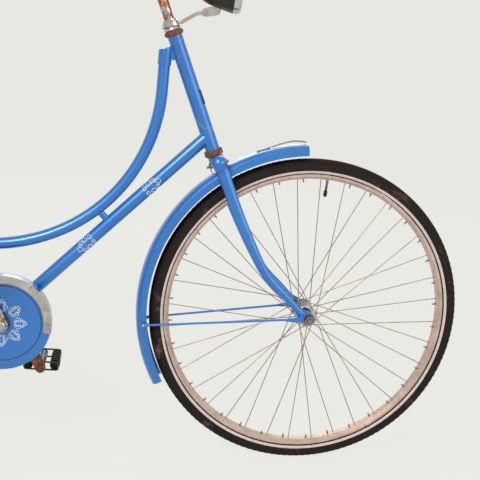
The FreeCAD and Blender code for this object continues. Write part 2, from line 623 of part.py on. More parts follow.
# ------------------------------------------------------------ mudguards and their stays
def guard_section():
    """The mudguard's section in the XZ plane: a crowned strip with deep sides, of one wall."""
    outer, half = dim("guard_radius"), dim("guard_width") / 2
    wall, depth = dim("guard_wall"), dim("guard_depth")

    def rail(radius, across, shoulder):
        return (V(outer - depth, 0, across), V(outer - shoulder, 0, across),
                V(outer - shoulder * 0.33, 0, across * 0.72), V(radius, 0, 0))

    low, corner, bulge, crown = rail(outer, half, depth * 0.42)
    low_in, corner_in, bulge_in, crown_in = rail(outer - wall, half - wall, depth * 0.42 + wall / 2)

    def flipped(point):
        return V(point.x, 0, -point.z)

    bulge_in = V(bulge_in.x - wall * 0.8, 0, bulge_in.z)
    edges = [Part.LineSegment(flipped(low), flipped(corner)),
             Part.BSplineCurve(), Part.LineSegment(corner, low), Part.LineSegment(low, low_in),
             Part.LineSegment(low_in, corner_in), Part.BSplineCurve(),
             Part.LineSegment(flipped(corner_in), flipped(low_in)),
             Part.LineSegment(flipped(low_in), flipped(low))]
    edges[1].interpolate([flipped(corner), flipped(bulge), crown, bulge, corner])
    edges[5].interpolate([corner_in, bulge_in, crown_in, flipped(bulge_in), flipped(corner_in)])
    return Part.Face(Part.Wire([e.toShape() for e in edges]))


def guard(hub, first_angle, last_angle):
    """A mudguard about a wheel, from one bearing to the other, in degrees up from straight ahead."""
    strip = guard_section().revolve(V(0, 0, 0), V(0, 0, 1), last_angle - first_angle)
    strip.Placement = FreeCAD.Placement(
        hub + V(0, 0, dim("guard_lift")),
        FreeCAD.Rotation(V(0, 1, 0), -first_angle) * FreeCAD.Rotation(V(1, 0, 0), 90))
    return strip


def around(hub, radius, angle, across=0.0):
    return hub + V(radius * cosd(angle), across, radius * sind(angle))


def stay_rods(name, hub, feet, heads, tab):
    """Mudguard stays: round rods with flattened ends, one for each pair of points, on both sides."""
    made = []
    for _, sign in SIDES:
        for foot, head in zip(feet, heads):
            start = hub + V(foot.x, sign * foot.y, foot.z)
            end = hub + V(head.x, sign * head.y, head.z)
            rod_solid = Part.makeCylinder(dim("stay_rod") / 2, (end - start).Length, start, end - start)
            flat = strap(start, level(start, end, tab), 6, 3, dim("stay_rod"))
            clip = strap(end, level(end, start, 9), STAY_CLIP, 4, dim("stay_rod"))
            made.append(rod_solid.fuse([flat, clip]).removeSplitter())
    return shaped(name, Part.makeCompound(made))


STAY_CLIP = 7  # radius of the flattened end that is bolted to the mudguard's side
FRONT_GUARD = (96, 210)
REAR_GUARD = (8, 204)


def build_guards():
    subpart("front_mudguard", shaped("front_mudguard_shape", guard(FRONT_HUB, *FRONT_GUARD)))
    subpart("rear_mudguard", shaped("rear_mudguard_shape", guard(REAR_HUB, *REAR_GUARD)))
    edge = dim("guard_radius") - dim("guard_depth") + 8
    beside = dim("guard_width") / 2 + dim("stay_rod") / 2 + 0.1
    plate = dim("front_hub_width") / 2 + dim("dropout_plate") + dim("stay_rod") / 2 + 0.1
    head = around(V(0, 0, dim("guard_lift")), edge, 187.7, beside)
    subpart("front_mudguard_stays", stay_rods("front_stays_shape", FRONT_HUB,
                                              [V(-25, plate, 0)], [head], 26))
    plate = dim("rear_hub_width") / 2 + dim("dropout_plate") + dim("stay_rod") / 2 + 0.1
    heads = [around(V(0, 0, dim("guard_lift")), edge, angle, beside) for angle in (150, 192)]
    feet = [V(-16, plate, 9), V(-18, plate, -4)]
    subpart("rear_mudguard_stays", stay_rods("rear_stays_shape", REAR_HUB, feet, heads, 12))
    ridge_at = V(0, 0, dim("guard_lift"))
    points = [around(ridge_at, dim("guard_radius") + h, a) for a, h in
              ((113, 2), (106, 4.5), (99, 7), (96.4, 3))]
    spine = Part.BSplineCurve()
    spine.interpolate(points)
    path = Part.Wire([spine.toShape()])
    bead = path.makePipeShell([Part.Wire([Part.makeCircle(2.2, points[0], points[1] - points[0])])], True, True)
    blade = bead.cut(next(made for label, made in SUBPARTS if label == "front_mudguard").Shape)
    subpart("mudguard_tip", shaped("mudguard_tip_shape", max(blade.Solids, key=lambda s: s.Volume)))


# ------------------------------------------------------------ drive: chain case, cranks, pedals
def case_outline(radius_off, low, high):
    """The chain case's silhouette, shrunk by an amount, between two distances to the right."""
    start = CRANK - V(0, (low + high) / 2, 0)
    end = REAR_HUB - V(0, (low + high) / 2, 0)
    return strap(start, end, dim("case_front_radius") - radius_off, dim("case_rear_radius") - radius_off,
                 high - low)


def build_chain_case():
    wall = dim("case_wall")
    inner, outer, front = dim("case_inner"), dim("case_outer"), dim("drum_outer")
    body = case_outline(0, inner, outer).fuse(
        drum(CRANK, dim("case_front_radius"), -front, -inner))
    hollow = case_outline(wall, inner + wall, outer - wall).fuse(
        drum(CRANK, dim("case_front_radius") - wall, -front + wall, -inner - wall))
    case = body.removeSplitter().cut(hollow.removeSplitter())
    case = case.cut(drum(CRANK, dim("shell_diameter") / 2 + 0.3, -inner - 3, -inner + 1))
    case = case.cut(drum(CRANK, 15, -front - 1, -front + 3))
    case = case.cut(drum(REAR_HUB, 20, -inner - 3, -inner + 1))
    case = case.cut(drum(REAR_HUB, 8.5, -outer - 1, -outer + 3))
    start, end = stay_ends(-1)
    beyond = end + (end - start).normalize() * 30
    case = case.cut(solid_tube(start, beyond, dim("chain_stay_diameter") + 2))
    stay_low, stay_top = seat_stay_ends(-1)
    below = stay_low - (stay_top - stay_low).normalize() * 20
    case = case.cut(solid_tube(below, stay_top, dim("seat_stay_diameter") + 2))
    shell = max(case.Solids, key=lambda s: s.Volume)
    subpart("chain_case", shaped("chain_case_shape", shell))

    disc_edge, rim_edge = dim("case_disc_radius") + 5, dim("case_front_radius")
    hoop = drum(CRANK, rim_edge + 1.5, -front - 1.5, -outer - 0.2).cut(
        drum(CRANK, rim_edge + 0.1, -front - 0.1, -outer + 1)).cut(
        drum(CRANK, disc_edge, -front - 3, -front + 2))
    wedge = Part.makeBox(400, 60, 400, V(-200, -front - 10, 0))
    wedge.Placement = FreeCAD.Placement(CRANK, FreeCAD.Rotation(V(0, 1, 0), 10))
    behind = Part.makeBox(200, 60, 400, V(-200 - 62, -front - 10, -200))
    behind.Placement = FreeCAD.Placement(CRANK, FreeCAD.Rotation())
    hoop = hoop.common(wedge).cut(behind)
    subpart("chain_case_rim", shaped("chain_case_rim_shape", max(hoop.Solids, key=lambda s: s.Volume)))


def crank_arm(sign, turn):
    offset = dim("arm_offset")
    thick = dim("arm_thickness")
    boss = CRANK + V(0, sign * offset, 0)
    eye = boss + V(cosd(turn), 0, sind(turn)) * dim("crank_length")
    arm = strap(boss, eye, 15, 11.5, thick)
    pin = Part.makeCylinder(dim("axle_diameter") / 2 + 0.5, 108, eye, V(0, sign, 0))
    return arm.fuse(pin).removeSplitter(), eye


def build_cranks():
    offset, thick = dim("arm_offset"), dim("arm_thickness")
    length = 2 * (offset + thick / 2 + 3)
    spindle = cylinder("crank_axle_shape", CRANK - V(0, length / 2, 0), V(0, 1, 0),
                       "dims.crank_axle_diameter / 2", str(length))
    subpart("crank_axle", spindle)
    hole = drum(CRANK, dim("crank_axle_diameter") / 2, -200, 200)
    for side, sign in SIDES:
        turn = dim("crank_turn") + (0 if sign > 0 else 180)
        arm, eye = crank_arm(sign, turn)
        subpart(f"crank_{side}", shaped(f"crank_{side}_shape", arm.cut(hole)))
        build_pedal(side, sign, eye)


def build_pedal(side, sign, eye):
    """A block pedal: a cage of two end plates about a sleeve, with a rubber block front and back."""
    start = eye + V(0, sign * (dim("arm_thickness") / 2 + 5), 0)
    reach = V(0, sign, 0)
    bore_radius = dim("axle_diameter") / 2 + 0.5 + dim("running_gap")
    length = 92
    sleeve = Part.makeCylinder(10, length, start, reach)
    plates = []
    for at in (0, length - 4):
        base = start + reach * (at + 2)
        plates.append(strap(base - V(32, 0, 0), base + V(32, 0, 0), 13, 12.99, 4))
    blocks = []
    for fore in (-1, 1):
        corner = start + V(fore * 33, 0, 0)
        block = Part.makeBox(24, length - 8, 25, V(-12, 4, -12.5))
        block = block.makeFillet(4, [e for e in block.Edges if e.Length > length - 9])
        turn = FreeCAD.Rotation() if sign > 0 else FreeCAD.Rotation(V(0, 0, 1), 180)
        block.Placement = FreeCAD.Placement(corner, turn)
        blocks.append(block)
    bore = Part.makeCylinder(bore_radius, length + 4, start - reach, reach)
    made = sleeve.fuse(plates + blocks).cut(bore).removeSplitter()
    subpart(f"pedal_{side}", shaped(f"pedal_{side}_shape", max(made.Solids, key=lambda s: s.Volume)))


# ------------------------------------------------------------ stem, handlebar, grips, bell, lamp
def stem_top():
    return STEM_FOOT + STEER_UP * dim("stem_rise")


def bar_centre():
    return stem_top() + V(dim("stem_reach"), 0, 0)


def bar_points(sign):
    """The bar's left or right half, from the clamp out and back to the end of the grip."""
    half, sweep = dim("bar_half_width"), dim("bar_sweep")
    centre = bar_centre()
    shape = ((0, 0, 0), (0, 45, 0), (38, 150, 34), (30, half * 0.84, 48), (-55, half * 0.99, 44),
             (-sweep, half - 4, 10))
    return [centre + V(x, sign * y, z) for x, y, z in shape]


def build_bars():
    quill = Part.makeCylinder(dim("stem_diameter") / 2, dim("stem_rise"), STEM_FOOT, STEER_UP)
    elbow = Part.makeSphere(dim("stem_diameter") / 2, stem_top())
    arm = Part.makeCylinder(dim("stem_diameter") / 2 - 1, dim("stem_reach"), stem_top(), V(1, 0, 0))
    clamp = Part.makeCylinder(17, 38, bar_centre() - V(0, 19, 0), V(0, 1, 0))
    left = bent_rod(bar_points(1), dim("bar_diameter") / 2, 55)
    right = bent_rod(bar_points(-1), dim("bar_diameter") / 2, 55)
    bar = left.fuse(right).removeSplitter()
    stem = quill.fuse([elbow, arm, clamp]).cut(bar).removeSplitter()
    subpart("stem", shaped("stem_shape", max(stem.Solids, key=lambda s: s.Volume)))
    grips = []
    for _, sign in SIDES:
        *_, corner, tip = bar_points(sign)
        back = (tip - corner).normalize()
        start = tip - back * (dim("grip_length") - 4)
        grip = Part.makeCylinder(dim("grip_diameter") / 2, dim("grip_length"), start, back)
        grips.append(grip.cut(bar))
    subpart("handlebar", shaped("handlebar_shape", bar))
    subpart("grips", shaped("grips_shape", Part.makeCompound(
        [max(g.Solids, key=lambda s: s.Volume) for g in grips])))

    _, before, after, *_ = bar_points(1)
    along = (after - before).normalize()
    at = before + along * 62
    up = along.cross(V(1, 0, 0)).normalize()
    up = up if up.z > 0 else up * -1
    dome = Part.makeSphere(28, at + up * 24, up, 0, 90, 360)
    foot = Part.makeCylinder(9, 24, at, up)
    strap_ring = Part.makeCylinder(14, 14, at - along * 7, along)
    bell = dome.fuse([foot, strap_ring]).cut(bar).removeSplitter()
    subpart("bell", shaped("bell_shape", max(bell.Solids, key=lambda s: s.Volume)))


def build_lamp():
    """A bullet lamp on a strip bracket that is clamped under the headset locknut."""
    front_x = HEAD_TOP.x + 132
    centre = V(front_x, 0, HEAD_TOP.z + 97)
    shell = turned("lamp_shell_shape", [
        ("0", "-dims.lamp_length"), ("9", "-dims.lamp_length + 1.5"), ("17", "-dims.lamp_length + 8"),
        ("25", "-dims.lamp_length + 23"), ("31", "-dims.lamp_length + 42"),
        ("dims.lamp_diameter / 2 - 3", "-30"), ("dims.lamp_diameter / 2", "-16"), ("0", "-16")])
    shell.Placement = FreeCAD.Placement(centre, facing(V(1, 0, 0)))
    subpart("lamp_shell", shell)
    rim_body = turned("lamp_rim_shape", [
        ("dims.lamp_diameter / 2 - 6", "-16"), ("dims.lamp_diameter / 2 + 1", "-16"),
        ("dims.lamp_diameter / 2 + 1", "-5"), ("dims.lamp_diameter / 2 - 2", "0"),
        ("dims.lamp_diameter / 2 - 6", "0")])
    rim_body.Placement = FreeCAD.Placement(centre, facing(V(1, 0, 0)))
    subpart("lamp_rim", rim_body)
    lens = turned("lamp_lens_shape", [
        ("0", "-16"), ("dims.lamp_diameter / 2 - 6", "-16"), ("dims.lamp_diameter / 2 - 6", "-3"),
        ("dims.lamp_diameter / 4", "1"), ("0", "2")])
    lens.Placement = FreeCAD.Placement(centre, facing(V(1, 0, 0)))
    subpart("lamp_lens", lens)
    ring_foot = HEAD_TOP + STEER_UP * 19.5
    bolt = V(HEAD_TOP.x + 60, 0, HEAD_TOP.z + 54)
    ring = Part.makeCylinder(21, 3, ring_foot, STEER_UP).cut(
        Part.makeCylinder(15.6, 5, ring_foot - STEER_UP, STEER_UP))
    shape = [ring_foot + STEER_UP * 1.5 + STEER_FORWARD * 20, V(HEAD_TOP.x + 42, 0, HEAD_TOP.z + 49), bolt]
    bars = []
    for start, end in zip(shape, shape[1:]):
        along = end - start
        bar = Part.makeBox(along.Length + 2, 5, 8, V(0, -2.5, -4))
        bar.Placement = FreeCAD.Placement(start, FreeCAD.Rotation(V(1, 0, 0), along))
        bars.append(bar)
    knuckle = Part.makeCylinder(6.5, 20, bolt - V(0, 10, 0), V(0, 1, 0))
    tab = strap(bolt, bolt + V(22, 0, 6), 9, 10, 8)
    bracket = ring.fuse(bars + [knuckle, tab]).removeSplitter()
    DOC.recompute()
    bracket = bracket.cut(shell.Shape)
    subpart("lamp_bracket", shaped("lamp_bracket_shape", max(bracket.Solids, key=lambda s: s.Volume)))


# ------------------------------------------------------------ saddle
def saddle_section(at, half_width, top, depth):
    """One cross-section of the saddle: a flat-bottomed crown."""
    centre = SADDLE_CLAMP + V(at, 0, 26)
    left = centre + V(0, half_width, top - depth)
    right = centre + V(0, -half_width, top - depth)
    shoulder_l = centre + V(0, half_width * 0.8, top - depth * 0.22)
    shoulder_r = centre + V(0, -half_width * 0.8, top - depth * 0.22)
    crown = Part.BSplineCurve()
    crown.interpolate([left, shoulder_l, centre + V(0, 0, top), shoulder_r, right])
    return Part.Wire([crown.toShape(), Part.LineSegment(right, left).toShape()])


def build_saddle():
    length, half = dim("saddle_length"), dim("saddle_width") / 2
    stations = ((-0.42, 0.62, 34, 40), (-0.34, 0.93, 37, 48), (-0.2, 1.0, 34, 50), (0.0, 0.72, 28, 44),
                (0.2, 0.36, 27, 38), (0.42, 0.2, 29, 36), (0.56, 0.15, 24, 28))
    sections = [saddle_section(length * at, half * wide, top, deep) for at, wide, top, deep in stations]
    subpart("saddle", shaped("saddle_shape", Part.makeLoft(sections, True, False)))

    post = cylinder("seat_post_shape", SEAT_TOP, SEAT_UP, "dims.seat_post_diameter / 2",
                    "dims.seat_post_rise")
    subpart("seat_post", post)
    clamp = Part.makeCylinder(12, 50, SADDLE_CLAMP - V(0, 25, -9), V(0, 1, 0))
    seat = Part.makeCylinder(dim("seat_post_diameter") / 2, 60, SADDLE_CLAMP - SEAT_UP * 60, SEAT_UP)
    rails = []
    base = SADDLE_CLAMP + V(0, 0, 9)
    for _, sign in SIDES:
        rails.append(bent_rod([base + V(-72, sign * 46, 0), base + V(-30, sign * 20, 0),
                               base + V(70, sign * 14, 0), base + V(122, sign * 8, 19)], 3.5, 14))
        rails.append(Part.makeCylinder(15, 22, base + V(-72, sign * 46, -5), V(0, 0, 1)))
    cross = Part.makeCylinder(3.5, 92, base + V(-72, -46, -2), V(0, 1, 0))
    nose = Part.makeBox(16, 24, 5, base + V(114, -12, 15))
    made = clamp.fuse(rails + [cross, nose]).cut(seat)
    saddle = next(piece for label, piece in SUBPARTS if label == "saddle").Shape
    made = made.cut(saddle).removeSplitter()
    subpart("saddle_frame", shaped("saddle_frame_shape", max(made.Solids, key=lambda s: s.Volume)))


# ------------------------------------------------------------ carrier, guards, rear light, stand
def build_carrier():
    rod_radius = dim("carrier_rod") / 2
    top = dim("guard_radius") + dim("guard_lift") + dim("carrier_gap") + rod_radius
    half = dim("carrier_width") / 2 - rod_radius
    front, back = 195, -185
    stay_low, stay_top = seat_stay_ends(1)
    share = (REAR_HUB.z + top - stay_low.z) / (stay_top.z - stay_low.z)
    joint = stay_low + (stay_top - stay_low) * share
    loop = bent_rod([REAR_HUB + V(front, half, top), REAR_HUB + V(back, half, top),
                     REAR_HUB + V(back, -half, top), REAR_HUB + V(front, -half, top)], rod_radius, 28)
    pieces = [loop]
    for _, sign in SIDES:
        corner = REAR_HUB + V(front, sign * half, top)
        hook = V(joint.x - 2, sign * (joint.y + 3), joint.z)
        pieces.append(Part.makeCylinder(rod_radius - 0.5, (hook - corner).Length, corner, hook - corner))
        pieces.append(Part.makeSphere(rod_radius, corner))
    for at in (front - 12, 60, -70, back + 40):
        pieces.append(Part.makeCylinder(3, 2 * half, REAR_HUB + V(at, -half, top), V(0, 1, 0)))
    for across in (-22, 22):
        pieces.append(Part.makeCylinder(3, front - back - 14, REAR_HUB + V(back + 3, across, top), V(1, 0, 0)))
    stays = next(made for label, made in SUBPARTS if label == "seat_stays").Shape
    deck = pieces[0].fuse(pieces[1:]).cut(stays).removeSplitter()
    subpart("carrier_deck", shaped("carrier_deck_shape", max(deck.Solids, key=lambda s: s.Volume)))
    struts = []
    for _, sign in SIDES:
        outboard = dim("rear_hub_width") / 2 + dim("dropout_plate") + dim("stay_rod") + STRUT_RADIUS + 0.2
        foot = REAR_HUB + V(-16, sign * outboard, 9)
        head = REAR_HUB + V(-96, sign * (half + 0.5), top - rod_radius * 2)
        strut = Part.makeCylinder(STRUT_RADIUS, (head - foot).Length, foot, head - foot)
        pad = Part.makeCylinder(STRUT_RADIUS, 10, head, V(0, 0, 1)).cut(deck)
        pad = max(pad.Solids, key=lambda s: s.Volume)
        flat = strap(foot, level(foot, head, 16), 7, 4, 6)
        struts.append(strut.fuse([pad, flat]).cut(deck).removeSplitter())
    subpart("carrier_struts", shaped("carrier_struts_shape", Part.makeCompound(
        [max(s.Solids, key=lambda s: s.Volume) for s in struts])))


def build_coat_guards():
    """Thin coat guards that fill the upper front of the rear wheel beside the mudguard."""
    outer, inner = dim("guard_radius") - 10, 165
    half = dim("guard_width") / 2 + 1.6
    first, last = 22, 147
    made = []
    for _, sign in SIDES:
        y = sign * half - 0.6
        centre = REAR_HUB + V(0, y, dim("guard_lift"))
        a, b = around(centre, outer, first), around(centre, outer, last)
        c, d = around(centre, inner, last), around(centre, inner, first)
        mid = (first + last) / 2
        wire = Part.Wire([Part.Arc(a, around(centre, outer, mid), b).toShape(),
                          Part.LineSegment(b, c).toShape(),
                          Part.Arc(c, around(centre, inner, mid), d).toShape(),
                          Part.LineSegment(d, a).toShape()])
        made.append(Part.Face(wire).extrude(V(0, 1.2, 0)))
    subpart("coat_guards", shaped("coat_guards_shape", Part.makeCompound(made)))


def build_rear_light():
    angle = 146
    centre = REAR_HUB + V(0, 0, dim("guard_lift"))
    seat = around(centre, dim("guard_radius") - 2, angle)
    out = V(cosd(angle), 0, sind(angle))
    box = Part.makeBox(26, 44, 50, V(-2, -22, -25))
    box.Placement = FreeCAD.Placement(seat + out * 10, FreeCAD.Rotation(V(1, 0, 0), V(-1, 0, 0.06)))
    box = box.makeFillet(5, [e for e in box.Edges if e.Length > 20 and e.Length < 27])
    foot = Part.makeCylinder(8, 22, seat, out)
    guard_shape = next(made for label, made in SUBPARTS if label == "rear_mudguard").Shape
    light = box.fuse(foot).cut(guard_shape).removeSplitter()
    subpart("rear_light", shaped("rear_light_shape", max(light.Solids, key=lambda s: s.Volume)))


def build_brake_arm():
    """The coaster brake's reaction arm, clipped along the left chain stay."""
    start, end = stay_ends(1)
    across = dim("rear_hub_width") / 2 - 9
    eye = REAR_HUB + V(0, across, 0)
    share = 0.62
    clip_at = start + (end - start) * share
    tip = V(clip_at.x, across, clip_at.z - dim("chain_stay_diameter") / 2 - 4)
    arm = strap(eye, tip, 20, 7, 3)
    hole = drum(REAR_HUB, dim("axle_diameter") / 2, across - 5, across + 5)
    pin = Part.makeCylinder(3, abs(clip_at.y - across) + 12, V(tip.x, min(clip_at.y, across) - 3, tip.z), V(0, 1, 0))
    clip = Part.makeCylinder(dim("chain_stay_diameter") / 2 + 1.5, 12, clip_at, end - start)
    stay = solid_tube(start, end, dim("chain_stay_diameter"))
    drop = Part.makeBox(12, 12, 10, V(clip_at.x - 6, clip_at.y - 6, tip.z - 2))
    made = arm.fuse([clip, pin, drop]).cut(stay).cut(hole).removeSplitter()
    subpart("brake_arm", shaped("brake_arm_shape", max(made.Solids, key=lambda s: s.Volume)))


def build_stand():
    """Two legs that hang from the rear axle and a foot bar that runs under the wheel."""
    radius = dim("stand_rod") / 2
    offset, half = dim("stand_offset"), dim("stand_width") / 2
    floor_drop = dim("tyre_radius") + dim("stand_lift") - radius
    drop = V(sind(NOSE_DOWN), 0, -cosd(NOSE_DOWN))
    ahead = V(cosd(NOSE_DOWN), 0, sind(NOSE_DOWN))
    foot = REAR_HUB + drop * floor_drop + ahead * dim("stand_toe")
    for side, sign in SIDES:
        eye = REAR_HUB + V(0, sign * offset, 0)
        knee = eye + (foot - REAR_HUB) * 0.16
        heel = foot + V(0, sign * half, 0)
        toe = foot + V(0, sign * (half - STAND_STUB), 0)
        leg = bent_rod([eye + (knee - eye) * 0.35, knee, heel, toe], radius, STAND_BEND)
        ring = strap(eye, eye + (foot - REAR_HUB) * 0.07, 13, 8, 2 * radius - 2)
        hole = drum(REAR_HUB, dim("axle_diameter") / 2 + dim("running_gap"), sign * offset - 9, sign * offset + 9)
        made = leg.fuse(ring).cut(hole).removeSplitter()
        subpart(f"stand_leg_{side}", shaped(f"stand_leg_{side}_shape", max(made.Solids, key=lambda s: s.Volume)))
    subpart("stand_foot_bar", cylinder("stand_foot_bar_shape", foot - V(0, half - STAND_STUB, 0), V(0, 1, 0),
                                       "dims.stand_rod / 2", f"dims.stand_width - {2 * STAND_STUB}"))


# ------------------------------------------------------------ build, check and write
def build_all():
    build_front_wheel()
    build_rear_wheel()
    build_main_frame()
    build_top_tube()
    build_upper_lug()
    build_tube_brace()
    build_rear_triangle()
    build_headset()
    build_fork()
    build_guard_bolt()
    build_guards()
    build_chain_case()
    build_cranks()
    build_bars()
    build_lamp()
    build_saddle()
    build_carrier()
    build_coat_guards()
    build_rear_light()
    build_brake_arm()
    build_stand()


def check_and_write():
    DOC.recompute()
    failed = [o.Name for o in DOC.Objects if {"Invalid", "Error"} & set(o.State)]
    if failed:
        raise RuntimeError(f"these objects failed: {failed}")
    for label, made in SUBPARTS:
        if made.Shape.isNull() or not made.Shape.isValid() or not made.Shape.Solids:
            raise RuntimeError(f"{label} has no valid solid")
    os.makedirs("parts", exist_ok=True)
    for label, made in SUBPARTS:
        made.Placement = PARKED.multiply(made.Placement)
        made.Shape.exportStep(f"parts/{label}.step")
        box = made.Shape.BoundBox
        print(f"{label:24s} {len(made.Shape.Solids):3d} solids  {made.Shape.Volume / 1000:9.1f} cm3  "
              f"X {box.XMin:.0f}..{box.XMax:.0f}  Y {box.YMin:.0f}..{box.YMax:.0f}  Z {box.ZMin:.1f}..{box.ZMax:.1f}")


build_all()
check_and_write()
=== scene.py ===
"""Looks of the Dutch step-through bicycle: finishes, tyres, saddle, grips, ornament, lights and camera."""

import math

import bmesh
import bpy
from mathutils import Matrix, Vector


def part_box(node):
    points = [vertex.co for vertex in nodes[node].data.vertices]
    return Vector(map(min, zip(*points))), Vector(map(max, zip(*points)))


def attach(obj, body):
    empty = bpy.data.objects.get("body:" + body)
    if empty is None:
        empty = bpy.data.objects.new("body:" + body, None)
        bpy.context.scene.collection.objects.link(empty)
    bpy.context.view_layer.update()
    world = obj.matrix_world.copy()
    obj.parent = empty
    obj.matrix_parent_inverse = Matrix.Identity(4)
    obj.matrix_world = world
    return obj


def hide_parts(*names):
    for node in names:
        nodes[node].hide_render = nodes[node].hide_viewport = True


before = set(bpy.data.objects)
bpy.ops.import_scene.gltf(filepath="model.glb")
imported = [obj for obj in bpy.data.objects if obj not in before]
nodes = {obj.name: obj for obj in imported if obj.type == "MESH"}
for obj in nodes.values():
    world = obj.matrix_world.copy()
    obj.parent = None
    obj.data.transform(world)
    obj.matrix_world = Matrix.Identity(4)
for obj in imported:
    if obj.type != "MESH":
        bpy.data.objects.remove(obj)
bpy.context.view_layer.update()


# ------------------------------------------------------------ places, all read from the frame
def centre_of(node):
    low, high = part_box(node)
    return (low + high) / 2


FRONT_HUB = centre_of("front_tyre")
REAR_HUB = centre_of("rear_tyre")
CRANK = centre_of("crank_axle")
TYRE_RADIUS = (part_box("front_tyre")[1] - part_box("front_tyre")[0]).z / 2
TILT = math.atan2(REAR_HUB.z - FRONT_HUB.z, FRONT_HUB.x - REAR_HUB.x)
TILT_DEGREES = math.degrees(TILT)
ACROSS = Vector((0, 1, 0))
ALONG = Vector((math.cos(TILT), 0, -math.sin(TILT)))
ABOVE = Vector((math.sin(TILT), 0, math.cos(TILT)))


def bike(origin, along, across, above):
    """A point in the bicycle's own directions, measured from one of its centres, in metres."""
    return origin + ALONG * along + Vector((0, across, 0)) + ABOVE * above


def bearing(origin, radius, degrees, across=0.0):
    """A point round a wheel or crank, its angle measured up from straight ahead."""
    turn = math.radians(degrees)
    return bike(origin, radius * math.cos(turn), across, radius * math.sin(turn))


# ------------------------------------------------------------ materials
def linear(red, green, blue):
    """A colour given as it looks on a screen, 0 to 255, as Blender's linear values."""
    parts = [c / 255 for c in (red, green, blue)]
    return tuple(c / 12.92 if c <= 0.04045 else ((c + 0.055) / 1.055) ** 2.4 for c in parts) + (1.0,)


class Finish:
    """A material being built: a Principled shader with helpers for worn, spotted and rough surfaces."""

    def __init__(self, name, colour, roughness, metallic=0.0):
        self.material = bpy.data.materials.new(name)
        self.material.use_nodes = True
        self.tree = self.material.node_tree
        self.shader = self.tree.nodes["Principled BSDF"]
        self.shader.inputs["Base Color"].default_value = colour
        self.shader.inputs["Roughness"].default_value = roughness
        self.shader.inputs["Metallic"].default_value = metallic
        self.place = self.node("ShaderNodeTexCoord").outputs["Object"]
        self.colour_from = None
        self.base = colour
        self.rough = roughness
        self.metal = metallic

    def node(self, kind, **settings):
        made = self.tree.nodes.new(kind)
        for key, value in settings.items():
            setattr(made, key, value)
        return made

    def link(self, start, end):
        self.tree.links.new(start, end)

    def noise(self, scale, detail=6.0, roughness=0.6, stretch=(1, 1, 1)):
        mapping = self.node("ShaderNodeMapping")
        mapping.inputs["Scale"].default_value = stretch
        self.link(self.place, mapping.inputs["Vector"])
        made = self.node("ShaderNodeTexNoise")
        made.inputs["Scale"].default_value = scale
        made.inputs["Detail"].default_value = detail
        made.inputs["Roughness"].default_value = roughness
        self.link(mapping.outputs["Vector"], made.inputs["Vector"])
        return made.outputs["Fac"]

    def ramp(self, source, low, high):
        made = self.node("ShaderNodeMapRange")
        made.inputs["From Min"].default_value = low
        made.inputs["From Max"].default_value = high
        self.link(source, made.inputs["Value"])
        return made.outputs["Result"]

    def mix_value(self, factor, low, high):
        made = self.node("ShaderNodeMapRange")
        made.inputs["To Min"].default_value = low
        made.inputs["To Max"].default_value = high
        self.link(factor, made.inputs["Value"])
        return made.outputs["Result"]

    def blend(self, factor, colour, roughness=None, metallic=None):
        """Another colour over the first, where the factor says; roughness and metal may follow it."""
        mix = self.node("ShaderNodeMix", data_type="RGBA")
        self.link(factor, mix.inputs["Factor"])
        if self.colour_from is None:
            mix.inputs[6].default_value = self.base
        else:
            self.link(self.colour_from, mix.inputs[6])
        mix.inputs[7].default_value = colour
        self.colour_from = mix.outputs[2]
        self.link(self.colour_from, self.shader.inputs["Base Color"])
        if roughness is not None:
            self.link(self.mix_value(factor, self.rough, roughness), self.shader.inputs["Roughness"])
        if metallic is not None:
            self.link(self.mix_value(factor, self.metal, metallic), self.shader.inputs["Metallic"])

    def bump(self, source, strength, distance=0.0006):
        made = self.node("ShaderNodeBump")
        made.inputs["Strength"].default_value = strength
        made.inputs["Distance"].default_value = distance
        self.link(source, made.inputs["Height"])
        self.link(made.outputs["Normal"], self.shader.inputs["Normal"])


def blue_paint(name="blue_enamel"):
    made = Finish(name, linear(34, 116, 194), 0.36, 0.45)
    made.shader.inputs["Coat Weight"].default_value = 0.9
    made.shader.inputs["Coat Roughness"].default_value = 0.22
    made.blend(made.ramp(made.noise(9, 4), 0.35, 0.75), linear(28, 104, 182))
    made.blend(made.ramp(made.noise(95, 7, 0.7, (1, 1, 0.4)), 0.69, 0.725), linear(168, 192, 214), 0.5)
    made.blend(made.ramp(made.noise(60, 8, 0.75), 0.70, 0.73), linear(104, 74, 60), 0.7)
    made.bump(made.noise(380, 3), 0.02)
    return made


def mudguard_paint(name, hub):
    """Blue enamel outside with a painted highlight as a pale line along the crown's crest, and a dark
    inside that is partly bare metal and partly painted shade.
    """
    made = blue_paint(name)
    coordinates = made.node("ShaderNodeTexCoord")
    offset = made.node("ShaderNodeVectorMath", operation="SUBTRACT")
    made.link(coordinates.outputs["Object"], offset.inputs[0])
    offset.inputs[1].default_value = hub
    flat = made.node("ShaderNodeVectorMath", operation="MULTIPLY")
    made.link(offset.outputs["Vector"], flat.inputs[0])
    flat.inputs[1].default_value = (1, 0, 1)
    toward = made.node("ShaderNodeVectorMath", operation="NORMALIZE")
    made.link(flat.outputs["Vector"], toward.inputs[0])
    facing = made.node("ShaderNodeVectorMath", operation="DOT_PRODUCT")
    made.link(toward.outputs["Vector"], facing.inputs[0])
    made.link(coordinates.outputs["Normal"], facing.inputs[1])
    split = made.node("ShaderNodeSeparateXYZ")
    made.link(offset.outputs["Vector"], split.inputs["Vector"])
    across = made.node("ShaderNodeMath", operation="ABSOLUTE")
    made.link(split.outputs["Y"], across.inputs[0])
    # Painted highlight: a pale line along the crest of the crown, where light catches the ridge.
    made.blend(made.ramp(across.outputs["Value"], 0.0022, 0.0016), linear(196, 196, 176), 0.4)
    # Dark on the side that faces the hub: partly the bare inside of the guard, partly painted shade of the
    # underside.
    made.blend(made.ramp(facing.outputs["Value"], -0.05, -0.12), linear(28, 27, 28), 0.6)
    return made


